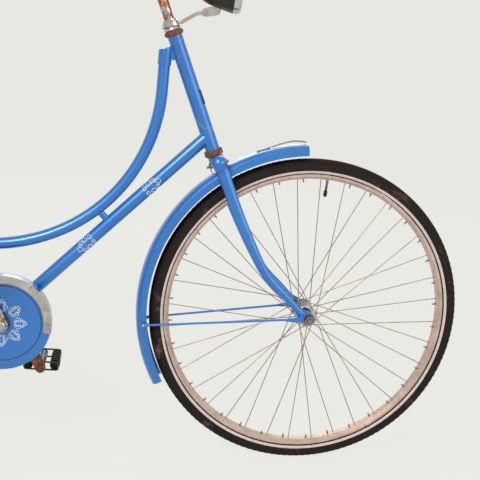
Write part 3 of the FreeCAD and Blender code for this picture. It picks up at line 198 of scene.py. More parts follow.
def chrome(name, rust=0.62, rough=0.16, tone=(206, 204, 200)):
    """Old plating: darker and duller in places, partly worn plating and partly painted dark reflection,
    and rusty in patches where the noise passes the rust level.
    """
    made = Finish(name, linear(*tone), rough, 1.0)
    # Darker, rougher patches: partly dull worn plating, partly painted dark reflection in place of darker
    # surroundings.
    made.blend(made.ramp(made.noise(30, 5), 0.35, 0.8), linear(*(0.7 * part for part in tone)), 0.34)
    made.blend(made.ramp(made.noise(75, 5, 0.6), rust, rust + 0.06), linear(172, 102, 60), 0.75, 0.2)
    made.blend(made.ramp(made.noise(120, 5, 0.6), rust + 0.07, rust + 0.13), linear(110, 66, 46), 0.8, 0.1)
    made.bump(made.noise(240, 6), 0.12)
    return made


def rubber(name, colour, roughness=0.7, dust=0.6):
    made = Finish(name, colour, roughness)
    made.shader.inputs["Specular IOR Level"].default_value = 0.25
    made.blend(made.ramp(made.noise(22, 8, 0.7), dust, dust + 0.22), linear(132, 100, 84), 0.85)
    made.bump(made.noise(900, 2), 0.25)
    return made


def black_enamel(name, colour, coat=0.2):
    made = Finish(name, colour, 0.34)
    made.shader.inputs["Coat Weight"].default_value = coat
    made.blend(made.ramp(made.noise(120, 8, 0.7), 0.68, 0.72), linear(112, 84, 66), 0.7)
    made.bump(made.noise(300, 3), 0.06)
    return made


def rim_steel():
    made = Finish("rim_steel", linear(204, 180, 166), 0.34, 0.35)
    made.blend(made.ramp(made.noise(26, 7, 0.7), 0.38, 0.7), linear(176, 148, 134), 0.45)
    made.blend(made.ramp(made.noise(110, 6, 0.65), 0.62, 0.68), linear(128, 88, 66), 0.8, 0.1)
    made.bump(made.noise(400, 4), 0.1)
    return made


def leather():
    made = Finish("saddle_hide", linear(34, 30, 29), 0.42)
    made.blend(made.ramp(made.noise(28, 6), 0.45, 0.8), linear(62, 54, 50), 0.58)
    cells = made.node("ShaderNodeTexVoronoi")
    cells.inputs["Scale"].default_value = 900
    made.link(made.place, cells.inputs["Vector"])
    made.bump(cells.outputs["Distance"], 0.3)
    return made


def coat_guard_vinyl():
    made = Finish("coat_guard_vinyl", linear(30, 31, 34), 0.38)
    made.blend(made.ramp(made.noise(14, 5), 0.4, 0.8), linear(50, 51, 55), 0.52)
    made.bump(made.noise(700, 3), 0.2)
    return made


def lamp_glass():
    made = Finish("lamp_glass", linear(236, 238, 234), 0.06)
    made.shader.inputs["Transmission Weight"].default_value = 0.55
    made.shader.inputs["IOR"].default_value = 1.5
    ribs = made.node("ShaderNodeTexWave", bands_direction="Y")
    ribs.inputs["Scale"].default_value = 60
    made.link(made.place, ribs.inputs["Vector"])
    made.bump(ribs.outputs["Fac"], 0.5, 0.001)
    return made


def clear_plastic(name, colour):
    made = Finish(name, colour, 0.12)
    made.shader.inputs["Coat Weight"].default_value = 0.6
    cells = made.node("ShaderNodeTexVoronoi")
    cells.inputs["Scale"].default_value = 420
    made.link(made.place, cells.inputs["Vector"])
    made.bump(cells.outputs["Distance"], 0.4, 0.0008)
    return made


def plain(name, colour, roughness=0.5, metallic=0.0):
    made = Finish(name, colour, roughness, metallic)
    made.blend(made.ramp(made.noise(90, 7, 0.7), 0.45, 0.75),
               tuple(c * 0.72 for c in colour[:3]) + (1.0,), min(1.0, roughness + 0.15))
    made.bump(made.noise(300, 3), 0.08)
    return made


BLUE = blue_paint().material
CHROME = chrome("worn_chrome").material
RUSTED = chrome("rusted_chrome", 0.49, 0.26).material
HEAVY_RUST = chrome("heavy_rust", 0.34, 0.42).material
RING_CHROME = chrome("ring_chrome", 0.6, 0.14, (206, 200, 194)).material
CLEAN = chrome("bright_chrome", 0.7, 0.1).material
NUT_STEEL = chrome("nut_steel", 0.54, 0.24, (150, 142, 134)).material
BRACKET = chrome("bracket_steel", 0.58, 0.34, (196, 188, 184)).material
BLACK = black_enamel("black_enamel", linear(26, 26, 28)).material
LAMP_BLACK = black_enamel("lamp_enamel", linear(22, 14, 13), 0.0).material
TYRE_BLACK = rubber("tyre_rubber", linear(27, 19, 17), 0.8, 0.58).material
RUBBER = rubber("black_rubber", linear(28, 24, 23), 0.65, 0.66).material
STRIPE = plain("reflex_stripe", linear(206, 190, 182), 0.4).material
SEAM = plain("case_seam_dirt", linear(58, 76, 82), 0.6).material
RIM = rim_steel().material
SPOKE = chrome("spoke_steel", 0.7, 0.46, (178, 162, 152)).material
HIDE = leather().material
VINYL = coat_guard_vinyl().material
GLASS = lamp_glass().material
RED = clear_plastic("red_plastic", linear(168, 18, 16)).material
AMBER = clear_plastic("amber_plastic", linear(188, 88, 40)).material
BRASS = plain("old_brass", linear(178, 156, 108), 0.42, 0.7).material
CREAM = plain("cream_line", linear(226, 230, 230), 0.5).material
GOLD_LINE = plain("lug_line", linear(150, 154, 150), 0.45).material
BADGE = plain("badge_plate", linear(44, 48, 58), 0.4, 0.4).material
LINES = plain("stitching", linear(70, 64, 60), 0.7).material

FINISHES = {
    BLUE: ["head_tube", "top_tube", "upper_lug", "down_tube", "seat_tube", "seat_lug", "bottom_bracket",
           "chain_stays", "seat_stays", "rear_dropouts", "tube_brace", "fork_crown", "fork_blade_left",
           "fork_blade_right", "front_dropouts", "chain_case", "front_mudguard_stays",
           "rear_mudguard_stays"],
    CHROME: ["seat_post", "crank_axle", "front_hub", "rear_hub", "brake_arm", "headset_locknut"],
    NUT_STEEL: ["guard_bolt", "front_axle", "rear_axle"],
    BRACKET: ["lamp_bracket"],
    RUSTED: ["stem", "crank_right"],
    HEAVY_RUST: ["headset_cups", "crank_left"],
    LAMP_BLACK: ["lamp_shell"],
    RING_CHROME: ["chain_case_rim"],
    CLEAN: ["handlebar", "bell", "lamp_rim", "mudguard_tip"],
    BLACK: ["saddle_frame", "carrier_deck", "carrier_struts", "stand_leg_left",
            "stand_leg_right", "stand_foot_bar"],
    RIM: ["front_rim", "rear_rim"],
    SPOKE: ["front_spokes", "rear_spokes"],
    VINYL: ["coat_guards"],
    GLASS: ["lamp_lens"],
    RED: ["rear_light"],
    mudguard_paint("front_mudguard_paint", FRONT_HUB).material: ["front_mudguard"],
    mudguard_paint("rear_mudguard_paint", REAR_HUB).material: ["rear_mudguard"],
}
for finish, names in FINISHES.items():
    for name in names:
        nodes[name].data.materials.clear()
        nodes[name].data.materials.append(finish)


# ------------------------------------------------------------ mesh helpers
def piece(name, mesh, body, *materials, smooth=True):
    """A finished mesh as an object that rides on a body."""
    made = bpy.data.objects.new(name, mesh)
    bpy.context.scene.collection.objects.link(made)
    for material in materials:
        mesh.materials.append(material)
    if smooth:
        mesh.shade_smooth()
    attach(made, body)
    return made


def as_mesh(name, work):
    bmesh.ops.recalc_face_normals(work, faces=work.faces)
    mesh = bpy.data.meshes.new(name)
    work.to_mesh(mesh)
    work.free()
    return mesh


def directions(axis):
    """Two directions square to an axis and to each other."""
    helper = Vector((0, 0, 1)) if abs(axis.z) < 0.9 else Vector((1, 0, 0))
    first = axis.cross(helper).normalized()
    return first, axis.cross(first).normalized()


def lathe(work, origin, axis, profile, sides=32, closed=False, material=lambda index: 0):
    """Turns a profile of (distance along, radius) round an axis. A closed profile is a ring."""
    axis = axis.normalized()
    first, second = directions(axis)
    rings = []
    for step in range(sides):
        turn = 2 * math.pi * step / sides
        out = first * math.cos(turn) + second * math.sin(turn)
        rings.append([work.verts.new(origin + axis * at + out * radius) for at, radius in profile])
    count = len(profile)
    spans = count if closed else count - 1
    for step in range(sides):
        here, there = rings[step], rings[(step + 1) % sides]
        for i in range(spans):
            j = (i + 1) % count
            face = work.faces.new((here[i], here[j], there[j], there[i]))
            face.material_index = material(i)
    if not closed:
        for end in (0, -1):
            if profile[end][1] > 1e-6:
                work.faces.new([ring[end] for ring in rings])


def tube(work, points, radius, sides=8, closed=False):
    """A round tube through points, with flat ends unless it is closed."""
    count = len(points)
    rings = []
    first = None
    for i, point in enumerate(points):
        before = points[i - 1] if (i or closed) else point
        after = points[(i + 1) % count] if (i < count - 1 or closed) else point
        axis = (after - before).normalized()
        if first is None:
            first, _ = directions(axis)
        first = (first - axis * first.dot(axis)).normalized()
        second = axis.cross(first)
        size = radius(i / max(1, count - 1)) if callable(radius) else radius
        rings.append([work.verts.new(point + (first * math.cos(2 * math.pi * s / sides)
                                              + second * math.sin(2 * math.pi * s / sides)) * size)
                      for s in range(sides)])
    spans = count if closed else count - 1
    for i in range(spans):
        here, there = rings[i], rings[(i + 1) % count]
        for s in range(sides):
            t = (s + 1) % sides
            work.faces.new((here[s], here[t], there[t], there[s]))
    if not closed:
        work.faces.new(rings[0][::-1])
        work.faces.new(rings[-1])


def block(work, centre, along, across, above, size, bevel=0.0):
    """A box with its own directions, its edges rounded."""
    corners = bmesh.ops.create_cube(work, size=1.0)["verts"]
    frame_of = Matrix((along * size[0], across * size[1], above * size[2])).transposed()
    for corner in corners:
        corner.co = centre + frame_of @ corner.co
    if bevel:
        edges = {edge for corner in corners for edge in corner.link_edges}
        bmesh.ops.bevel(work, geom=list(edges), offset=bevel, segments=3, affect="EDGES")


# ------------------------------------------------------------ tyres, valves and nipples
STRIPE_BAND = (0.3272, 0.3318)  # radii between which the sidewall's reflective stripe lies
TYRE_SECTION = 0.0197
SECTION_DEPTH = 0.0202  # from the tread down to the middle of the section
TREAD_LIFT = 0.0199  # from that middle out to the foot of the tread blocks
TREAD_BLOCKS = 150
TREAD_ROWS = ((28, 10, 0), (52, -12, 1.2))  # place round the section, slant, and shift round the wheel
FRONT_VALVE_AT = 87.3
REAR_VALVE_AT = 215
RIM_INNER = min((v.co - FRONT_HUB - ACROSS * v.co.y).length for v in nodes["front_rim"].data.vertices)


def tyre_profile():
    """The tyre's section: distance across and radius, round from one bead over the tread to the other."""
    middle = TYRE_RADIUS - SECTION_DEPTH
    profile = []
    steps = 44
    for i in range(steps + 1):
        turn = math.radians(-128 + 256 * i / steps)
        across, out = TYRE_SECTION * math.sin(turn), TYRE_SECTION * math.cos(turn)
        if abs(turn) < math.radians(58):
            out += 0.0005 * (1 if i % 2 else -1)
        profile.append((across, middle + out))
    return profile


def build_tyre(name, hub, body):
    profile = tyre_profile()

    def stripe(index):
        radius = (profile[index][1] + profile[(index + 1) % len(profile)][1]) / 2
        return 1 if STRIPE_BAND[0] < radius < STRIPE_BAND[1] else 0

    work = bmesh.new()
    lathe(work, hub, ACROSS, profile, 240, True, stripe)
    made = piece(name + "_carcass", as_mesh(name, work), body, TYRE_BLACK, STRIPE)
    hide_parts(name)
    work = bmesh.new()
    for i in range(TREAD_BLOCKS):
        degrees = 360 * i / TREAD_BLOCKS
        for side in (-1, 1):
            for lean, slant, shift in TREAD_ROWS:
                turn = math.radians(lean)
                radius = TYRE_RADIUS - SECTION_DEPTH + TREAD_LIFT * math.cos(turn)
                centre = bearing(hub, radius, degrees + shift, side * TREAD_LIFT * math.sin(turn))
                out = centre - hub
                out.y = 0
                out.normalize()
                normal = (out * math.cos(turn) + Vector((0, side * math.sin(turn), 0))).normalized()
                forward = ACROSS.cross(out).normalized()
                forward = Matrix.Rotation(math.radians(side * slant), 3, normal) @ forward
                block(work, centre, forward, normal.cross(forward), normal, (0.0088, 0.0048, 0.0014))
    tread = piece(name + "_tread", as_mesh(name + "_tread", work), body, TYRE_BLACK, smooth=False)


def build_nipples(name, hub, body, count=36):
    work = bmesh.new()
    for i in range(count):
        side = 1 if i % 2 else -1
        base = bearing(hub, RIM_INNER + 0.0002, -TILT_DEGREES + 360 * i / count, side * 0.003)
        inward = hub - base
        inward.y = 0
        inward.normalize()
        lathe(work, base, inward, [(-0.001, 0.0021), (0.0065, 0.0019), (0.0085, 0.0013)], 10)
    made = piece(name, as_mesh(name, work), body, SPOKE)


def build_valve(name, hub, body, degrees):
    base = bearing(hub, RIM_INNER + 0.001, degrees)
    inward = (hub - base).normalized()
    work = bmesh.new()
    lathe(work, base, inward, [(0, 0.0056), (0.002, 0.0056), (0.0021, 0.0032), (0.029, 0.0032)], 16)
    stem = piece(name, as_mesh(name, work), body, CLEAN)
    work = bmesh.new()
    lathe(work, base, inward, [(0.028, 0.0042), (0.038, 0.0042), (0.0405, 0.0022), (0.041, 0.0)], 16)
    cap = piece(name + "_cap", as_mesh(name + "_cap", work), body, RUBBER)


build_tyre("front_tyre", FRONT_HUB, "front_wheel")
build_tyre("rear_tyre", REAR_HUB, "rear_wheel")
build_nipples("front_nipples", FRONT_HUB, "front_wheel")
build_nipples("rear_nipples", REAR_HUB, "rear_wheel")
build_valve("front_valve", FRONT_HUB, "front_wheel", FRONT_VALVE_AT)
build_valve("rear_valve", REAR_HUB, "rear_wheel", REAR_VALVE_AT)


# ------------------------------------------------------------ ornament: scrolls on flat and round places
SCROLLS = (((0.0, 0.32), 0.3, 40), ((0.42, 0.22), 0.22, 100), ((-0.36, 0.2), 0.2, 10))  # place, size, turn
SCROLL_WIDTH = 0.0008
TUBE_SCROLLS_AT = (0.413, 0.719)  # shares of the way up the down tube
CASE_PETALS = 8
CASE_RING = 0.036  # from the crank's axis to the middle of each petal


def turned(x, y, angle):
    return x * math.cos(angle) - y * math.sin(angle), x * math.sin(angle) + y * math.cos(angle)


def spiral(turns, size):
    """A scroll that opens outward, as points in a plane, starting at its eye."""
    points = []
    steps = int(26 * turns)
    for i in range(steps + 1):
        share = i / steps
        angle = 2 * math.pi * turns * share
        radius = size * (0.12 + 0.88 * share ** 1.2)
        points.append((radius * math.cos(angle), radius * math.sin(angle)))
    return points


def leaf_cluster(scale):
    """A small group of scrolls and leaves as open lines in a plane."""
    lines = []
    for flip in (-1, 1):
        for shift, size, turn in SCROLLS:
            placed = [turned(x, y, math.radians(turn)) for x, y in spiral(1.3, size)]
            lines.append([((x + shift[0]) * scale, flip * (y + shift[1]) * scale) for x, y in placed])
        lines.append([((0.5 + 0.34 * t) * scale, flip * 0.16 * math.sin(math.pi * t) * scale)
                      for t in (0, 0.2, 0.4, 0.6, 0.8, 1.0)])
    return lines


def laid_on(lines, put, name):
    """Cream lines as thin raised ribbons on the frame: put turns plane points into places."""
    work = bmesh.new()
    for line in lines:
        tube(work, [put(x, y) for x, y in line],
             lambda s: SCROLL_WIDTH * (0.55 + 0.45 * math.sin(math.pi * s)), 6)
    made = piece(name, as_mesh(name, work), "frame", CREAM)


def down_tube_scrolls():
    axis_end = bike(FRONT_HUB, -0.2618, 0, 0.3848)
    axis = (axis_end - CRANK).normalized()
    above = ACROSS.cross(axis).normalized()
    above = above if above.z > 0 else -above
    radius = 0.0143
    length = (axis_end - CRANK).length
    for index, share in enumerate(TUBE_SCROLLS_AT):
        flip = 1 if index else -1

        def put(x, y, share=share, flip=flip):
            turn = y / radius
            out = Vector((0, -1, 0)) * math.cos(turn) + above * math.sin(turn)
            return CRANK + axis * (length * share + flip * x) + out * (radius + 0.0001)

        laid_on(leaf_cluster(0.034), put, f"tube_scrolls_{index}")


def case_scrolls():
    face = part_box("chain_case")[0].y
    lines = []
    for i in range(CASE_PETALS):
        base = 2 * math.pi * i / CASE_PETALS
        for line in leaf_cluster(0.021):
            lines.append([turned(x + CASE_RING, y, base) for x, y in line])

    def put(x, y):
        return CRANK + Vector((x, face - 0.0001 - CRANK.y, y))

    laid_on(lines, put, "case_scrolls")


down_tube_scrolls()
case_scrolls()


# ------------------------------------------------------------ chain case seam, caps and nuts
def ring(work, centre, radius, thickness, sides=96):
    """A thin round ring that faces across the bicycle."""
    first, second = directions(ACROSS)
    turns = [2 * math.pi * i / sides for i in range(sides)]
    points = [centre + (first * math.cos(turn) + second * math.sin(turn)) * radius for turn in turns]
    tube(work, points, thickness, 8, True)


def build_case_trim():
    """The dirt in the chain case's seams, and the brass collar round the crank axle."""
    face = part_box("chain_case")[0].y
    centre = Vector((CRANK.x, face, CRANK.z))
    work = bmesh.new()
    ring(work, centre, 0.084, 0.0013)
    ring(work, centre, 0.0175, 0.0012)
    seam = piece("case_seam", as_mesh("case_seam", work), "frame", SEAM)
    work = bmesh.new()
    lathe(work, centre + Vector((0, 0.001, 0)), Vector((0, -1, 0)),
          [(0, 0.0145), (0.003, 0.0145), (0.0045, 0.0125), (0.0045, 0.0088)], 40)
    collar = piece("case_collar", as_mesh("case_collar", work), "frame", BRASS)


def hex_nut(work, centre, axis, size, depth):
    profile = [(0, size * 0.94), (depth * 0.12, size), (depth * 0.88, size), (depth, size * 0.9)]
    lathe(work, centre, axis, profile, 6)
    lathe(work, centre + axis * depth, axis, [(0, size * 0.62), (depth * 0.25, size * 0.5)], 20)


def build_nuts():
    """The front axle's nuts and washers, and a domed cap on each end of the crank axle."""
    dropout_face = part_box("front_dropouts")[1].y
    for side in (-1, 1):
        work = bmesh.new()
        axis = ACROSS * side
        hex_nut(work, FRONT_HUB + axis * (dropout_face + 0.0012), axis, 0.0106, 0.0090)
        lathe(work, FRONT_HUB + axis * dropout_face, axis, [(0, 0.0120), (0.0014, 0.0120)], 28)
        made = piece(f"front_nut_{side + 1}", as_mesh("nut", work), "steering", NUT_STEEL, smooth=False)
    for side, label in ((-1, "right"), (1, "left")):
        arm_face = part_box("crank_axle")[0].y if side < 0 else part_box("crank_axle")[1].y
        work = bmesh.new()
        lathe(work, Vector((CRANK.x, arm_face - side * 0.001, CRANK.z)), ACROSS * side,
              [(0, 0.0112), (0.003, 0.0112), (0.005, 0.008), (0.006, 0.0)], 28)
        cap = piece(f"crank_cap_{label}", as_mesh("crank_cap", work), "crank", CHROME)


def build_stay_bolts():
    """Round-headed bolts through the flattened ends of the mudguard stays, and one on the lamp's clamp."""
    stays = (("front", FRONT_HUB, "steering", (187.7,)), ("rear", REAR_HUB, "frame", (150, 192)))
    clip_radius, clip_lift = 0.371, 0.003
    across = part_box("front_mudguard")[1].y + 0.005
    for name, hub, body, angles in stays:
        work = bmesh.new()
        for degrees in angles:
            for side in (-1, 1):
                place = bearing(hub + ABOVE * clip_lift, clip_radius, degrees, side * across)
                lathe(work, place, ACROSS * side, [(0, 0.0034), (0.0014, 0.0032), (0.0026, 0.0018)], 16)
        made = piece(f"{name}_stay_bolts", as_mesh("stay_bolts", work), body, BRACKET)
    work = bmesh.new()
    for side in (-1, 1):
        lathe(work, bike(FRONT_HUB, -0.2929, side * 0.0099, 0.6434), ACROSS * side,
              [(0, 0.0048), (0.003, 0.0048), (0.0036, 0.004)], 6)
    clamp = piece("lamp_clamp_bolt", as_mesh("lamp_clamp_bolt", work), "steering", BRASS, smooth=False)


build_case_trim()
build_nuts()
build_stay_bolts()


# ------------------------------------------------------------ grips, saddle and its springs
SPRING_TURNS = 3.5
SPRING_HEIGHT = 0.032


def build_grips():
    """Ribbed rubber grips with a collar at each end, each along its own stretch of the bar."""
    for side in (-1, 1):
        verts = [v.co for v in nodes["grips"].data.vertices if v.co.y * side > 0]
        back, front = min(v.x for v in verts), max(v.x for v in verts)
        rear = [v for v in verts if v.x < back + 0.012]
        fore = [v for v in verts if v.x > front - 0.012]
        end = sum(rear, Vector()) / len(rear)
        start = sum(fore, Vector()) / len(fore)
        axis = (end - start).normalized()
        length = (end - start).length + 0.004
        profile = [(-0.004, 0.0113), (-0.004, 0.0172), (0.0, 0.0178), (0.004, 0.0172)]
        ribs = 22
        for i in range(ribs):
            at = 0.006 + (length - 0.016) * i / ribs
            step = (length - 0.016) / ribs
            swell = 0.0007 * math.sin(math.pi * i / ribs)
            low, high = 0.0140 + swell, 0.0150 + swell
            profile += [(at, low), (at + step * 0.2, high), (at + step * 0.7, high)]
        profile += [(length - 0.008, 0.0142), (length - 0.006, 0.0172), (length - 0.001, 0.0172),
                    (length, 0.015), (length, 0.0)]
        work = bmesh.new()
        lathe(work, start, axis, profile, 40)
        made = piece(f"grip_{'left' if side > 0 else 'right'}", as_mesh("grip", work), "steering", RUBBER)
        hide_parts("grips")


def build_saddle():
    """A broad saddle: a crowned top with a groove, a deep skirt and a sewn edge."""
    low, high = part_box("saddle")
    length = high.x - low.x
    stations = 44
    sides = 40
    half_full = (high.y - low.y) / 2
    work = bmesh.new()
    grid = []
    for i in range(stations + 1):
        s = i / stations
        x = low.x + length * (0.004 + 0.992 * s)
        wide = half_full * (0.155 + 0.845 / (1 + math.exp((s - 0.42) * 11.5)))
        round_back = math.sqrt(max(0.0, 1 - max(0.0, (0.10 - s) / 0.10) ** 2))
        round_nose = math.sqrt(max(0.0, 1 - max(0.0, (s - 0.94) / 0.06) ** 2))
        wide *= (0.35 + 0.65 * round_back) * (0.45 + 0.55 * round_nose)
        top = high.z - 0.001 - 0.007 * math.sin(math.pi * min(1, s * 1.1)) - 0.004 * s
        skirt = (0.044 - 0.013 * s) * (0.5 + 0.5 * round_back) * (0.6 + 0.4 * round_nose)
        row = []
        for j in range(sides + 1):
            u = -1 + 2 * j / sides
            angle = u * math.pi / 2
            y = wide * math.copysign(abs(math.sin(angle)) ** 0.82, angle)
            drop = skirt * (1 - abs(math.cos(angle)) ** 0.62)
            groove = 0.0016 * math.exp(-(y / 0.012) ** 2) * (1 if 0.2 < s < 0.9 else 0)
            row.append(work.verts.new((x, y, top - drop - groove)))
        grid.append(row)
    for i in range(stations):
        for j in range(sides):
            work.faces.new((grid[i][j], grid[i + 1][j], grid[i + 1][j + 1], grid[i][j + 1]))
    mesh = as_mesh("saddle_top", work)
    made = piece("saddle_top", mesh, "frame", HIDE)
    thick = made.modifiers.new("thickness", "SOLIDIFY")
    thick.thickness = 0.009
    thick.offset = -1
    smooth = made.modifiers.new("smooth", "SUBSURF")
    smooth.levels = smooth.render_levels = 1
    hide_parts("saddle")
    for side in (0, sides):
        work = bmesh.new()
        points = [Vector(mesh.vertices[i * (sides + 1) + side].co) for i in range(stations + 1)]
        tube(work, points, 0.0024, 8)
        welt = piece(f"saddle_welt_{side}", as_mesh("saddle_welt", work), "frame", LINES)


def build_springs():
    """A coil spring under each side of the saddle, on its frame."""
    low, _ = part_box("saddle_frame")
    for side in (-1, 1):
        verts = [v.co for v in nodes["saddle_frame"].data.vertices if v.co.y * side > 0.03]
        foot = Vector((sum(v.x for v in verts) / len(verts), side * 0.046, low.z + 0.004))
        points = []
        steps = int(SPRING_TURNS * 24)
        for i in range(steps + 1):
            share = i / steps
            angle = 2 * math.pi * SPRING_TURNS * share
            radius = 0.0175 + 0.0015 * math.cos(2 * math.pi * share)
            height = SPRING_HEIGHT * share
            points.append(foot + Vector((radius * math.cos(angle), radius * math.sin(angle), height)))
        work = bmesh.new()
        tube(work, points, 0.0022, 10)
        made = piece(f"saddle_spring_{side + 1}", as_mesh("saddle_spring", work), "frame", CLEAN)


build_grips()
build_saddle()
build_springs()


# ------------------------------------------------------------ pedals
PEDAL_LOOP = (  # round one end of the cage, in shares of its half length and half height
    (1, -0.6), (1, 0.6), (0.9, 1), (-0.9, 1), (-1, 0.6), (-1, -0.6), (-0.9, -1), (0.9, -1))


def build_pedal(label):
    """Two ribbed rubber blocks beside a barrel, a looped bar at each end, and a reflector fore and aft."""
    body = f"pedal_{label}"
    centre = centre_of(body)
    work = bmesh.new()
    for fore in (-1, 1):
        middle = centre + ALONG * (fore * 0.031)
        block(work, middle, ALONG, ACROSS, ABOVE, (0.022, 0.080, 0.024), 0.006)
        for face in (-1, 1):
            for rib in range(7):
                at = middle + ACROSS * (-0.033 + 0.011 * rib) + ABOVE * (face * 0.0125)
                block(work, at, ALONG, ACROSS, ABOVE, (0.019, 0.006, 0.0025), 0.0008)
    rubbers = piece(f"pedal_rubbers_{label}", as_mesh("pedal_rubbers", work), body, RUBBER, smooth=False)
    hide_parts(body)
    work = bmesh.new()
    barrel = [(0, 0.0095), (0.012, 0.0085), (0.074, 0.0085), (0.086, 0.0095)]
    lathe(work, centre - ACROSS * 0.043, ACROSS, barrel, 28)
    for end in (-1, 1):
        loop = [centre + ACROSS * (end * 0.0435) + ALONG * (0.039 * x) + ABOVE * (0.0095 * z)
                for x, z in PEDAL_LOOP]
        tube(work, loop, 0.0022, 8, True)
    cage = piece(f"pedal_cage_{label}", as_mesh("pedal_cage", work), body, BLACK, smooth=False)
    for fore in (-1, 1):
        work = bmesh.new()
        block(work, centre + ALONG * (fore * 0.0413), ALONG, ACROSS, ABOVE, (0.003, 0.044, 0.014), 0.001)
        lens = piece(f"pedal_reflector_{label}_{fore + 1}", as_mesh("pedal_reflector", work), body, AMBER)


for label in ("left", "right"):
    build_pedal(label)


# ------------------------------------------------------------ lines on the lugs, head badge
HEAD_ANGLE = math.radians(66)
HEAD_RADIUS = 0.0159
LINE_WIDTH = 0.0006


def build_lug_lines():
    """Fine lines round the lugs' edges, and a bare plate where the head badge is."""
    up = ALONG * -math.cos(HEAD_ANGLE) + ABOVE * math.sin(HEAD_ANGLE)
    forward = ACROSS.cross(up).normalized()
    low = bike(FRONT_HUB, -0.2468, 0, 0.351)

    def on_head(height, turn, lift=0.0002):
        out = forward * math.cos(turn) + ACROSS * math.sin(turn)
        return low + up * height + out * (HEAD_RADIUS + lift)

    steps = 30
    shares = [i / steps for i in range(steps + 1)]
    for side in (-1, 1):
        work = bmesh.new()
        lower = [on_head(0.03 + 0.05 * s + 0.008 * math.sin(2 * math.pi * s), side * (0.25 + 2.2 * s))
                 for s in shares]
        tube(work, lower, LINE_WIDTH, 6)
        upper = [on_head(0.205 + 0.018 * math.sin(math.pi * s), side * (0.3 + 2.2 * s)) for s in shares]
        tube(work, upper, LINE_WIDTH, 6)
        made = piece(f"lug_line_{side + 1}", as_mesh("lug_line", work), "frame", GOLD_LINE)
    work = bmesh.new()
    corners = ((0.106, 0), (0.138, 0), (0.138, 0.0009), (0.106, 0.0009))
    rings = [[work.verts.new(on_head(height, math.radians(10 * step), lift)) for height, lift in corners]
             for step in range(-4, 5)]
    for here, there in zip(rings, rings[1:]):
        for a in range(4):
            b = (a + 1) % 4
            work.faces.new((here[a], here[b], there[b], there[a]))
    work.faces.new(rings[0])
    work.faces.new(rings[-1][::-1])
    badge = piece("head_badge", as_mesh("head_badge", work), "frame", BADGE)


build_lug_lines()


# ------------------------------------------------------------ floor, light, camera
BACKGROUND = linear(234, 235, 229)
WORLD_LIGHT = 0.45
AIMED_AT = Vector((0, 0, 0.5))
LIGHTS = (  # name, place, size in metres and power in watts
    ("key", (-1.6, -3.0, 3.2), 1.5, 120),
    ("fill", (2.6, -2.2, 1.8), 2.2, 30),
    ("back", (0.5, 3.2, 2.6), 2.4, 40))
FLOOR_GLOW, GLOW_LEVEL = 0.94, 1.0  # how much of the floor's look is its own colour, and how bright


def seen_plainly(tree):
    """One for rays from the camera, off gloss and through glass, zero for the rest."""
    rays = tree.nodes.new("ShaderNodeLightPath")
    total = rays.outputs["Is Camera Ray"]
    for kind in ("Is Glossy Ray", "Is Transmission Ray"):
        either = tree.nodes.new("ShaderNodeMath")
        either.operation = "MAXIMUM"
        tree.links.new(total, either.inputs[0])
        tree.links.new(rays.outputs[kind], either.inputs[1])
        total = either.outputs["Value"]
    return total


def build_floor():
    work = bmesh.new()
    bmesh.ops.create_grid(work, x_segments=1, y_segments=1, size=60)
    mesh = as_mesh("floor", work)
    floor = bpy.data.objects.new("floor", mesh)
    bpy.context.scene.collection.objects.link(floor)
    material = bpy.data.materials.new("floor_paper")
    material.use_nodes = True
    tree = material.node_tree
    shader = tree.nodes["Principled BSDF"]
    shader.inputs["Base Color"].default_value = BACKGROUND
    shader.inputs["Roughness"].default_value = 0.9
    glow = tree.nodes.new("ShaderNodeEmission")
    glow.inputs["Color"].default_value = BACKGROUND
    glow.inputs["Strength"].default_value = GLOW_LEVEL
    scale = tree.nodes.new("ShaderNodeMath")
    scale.operation = "MULTIPLY"
    scale.inputs[1].default_value = FLOOR_GLOW
    mix = tree.nodes.new("ShaderNodeMixShader")
    tree.links.new(seen_plainly(tree), scale.inputs[0])
    tree.links.new(scale.outputs["Value"], mix.inputs["Fac"])
    tree.links.new(shader.outputs["BSDF"], mix.inputs[1])
    tree.links.new(glow.outputs["Emission"], mix.inputs[2])
    tree.links.new(mix.outputs["Shader"], tree.nodes["Material Output"].inputs["Surface"])
    mesh.materials.append(material)


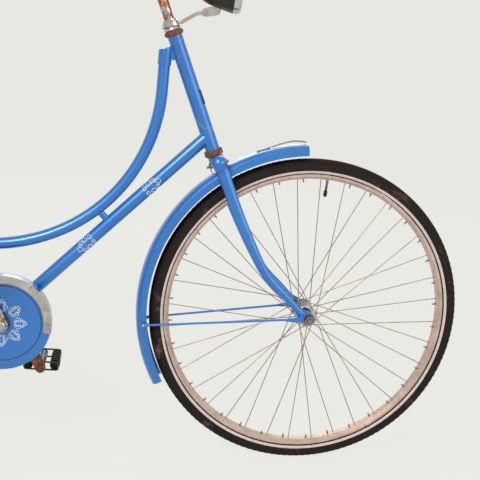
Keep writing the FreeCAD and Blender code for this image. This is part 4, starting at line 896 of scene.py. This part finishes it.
def build_world():
    world = bpy.data.worlds.new("studio")
    bpy.context.scene.world = world
    world.use_nodes = True
    tree = world.node_tree
    sky = tree.nodes["Background"]
    sky.inputs["Color"].default_value = (1, 1, 1, 1)
    sky.inputs["Strength"].default_value = WORLD_LIGHT
    plainly = tree.nodes.new("ShaderNodeBackground")
    plainly.inputs["Color"].default_value = BACKGROUND
    plainly.inputs["Strength"].default_value = FLOOR_GLOW * GLOW_LEVEL + (1 - FLOOR_GLOW) * WORLD_LIGHT
    mix = tree.nodes.new("ShaderNodeMixShader")
    tree.links.new(seen_plainly(tree), mix.inputs["Fac"])
    tree.links.new(sky.outputs["Background"], mix.inputs[1])
    tree.links.new(plainly.outputs["Background"], mix.inputs[2])
    tree.links.new(mix.outputs["Shader"], tree.nodes["World Output"].inputs["Surface"])


def area_light(name, place, size, power):
    light = bpy.data.lights.new(name, "AREA")
    light.size = size
    light.energy = power
    made = bpy.data.objects.new(name, light)
    made.location = place
    made.rotation_euler = (AIMED_AT - Vector(place)).to_track_quat("-Z", "Y").to_euler()
    bpy.context.scene.collection.objects.link(made)


LENS, SENSOR = 67.5, 36  # in millimetres
ROLL, YAW, PITCH = math.radians(3.63), 0.117216, 0.234420
CAMERA_AT = (-0.37926, -1.95144, 0.64488)  # from the front hub, in the picture's own level directions


def build_camera():
    """The camera's place and aim, measured from the front hub along and above the picture's own level."""
    data = bpy.data.cameras.new("camera")
    data.lens = LENS
    data.sensor_width = SENSOR
    camera = bpy.data.objects.new("camera", data)
    bpy.context.scene.collection.objects.link(camera)
    level = Vector((math.cos(ROLL), 0, math.sin(ROLL)))
    upright = Vector((-math.sin(ROLL), 0, math.cos(ROLL)))

    def levelled(x, y, z):
        return level * x + Vector((0, y, 0)) + upright * z

    forward = levelled(math.sin(YAW) * math.cos(PITCH), math.cos(YAW) * math.cos(PITCH), -math.sin(PITCH))
    right = levelled(math.cos(YAW), -math.sin(YAW), 0)
    up = right.cross(forward)
    place = FRONT_HUB + levelled(*CAMERA_AT)
    camera.matrix_world = Matrix.Translation(place) @ Matrix((right, up, -forward)).transposed().to_4x4()
    bpy.context.scene.camera = camera


build_floor()
build_world()
for light in LIGHTS:
    area_light(*light)
build_camera()
bpy.context.scene.view_settings.view_transform = "Standard"
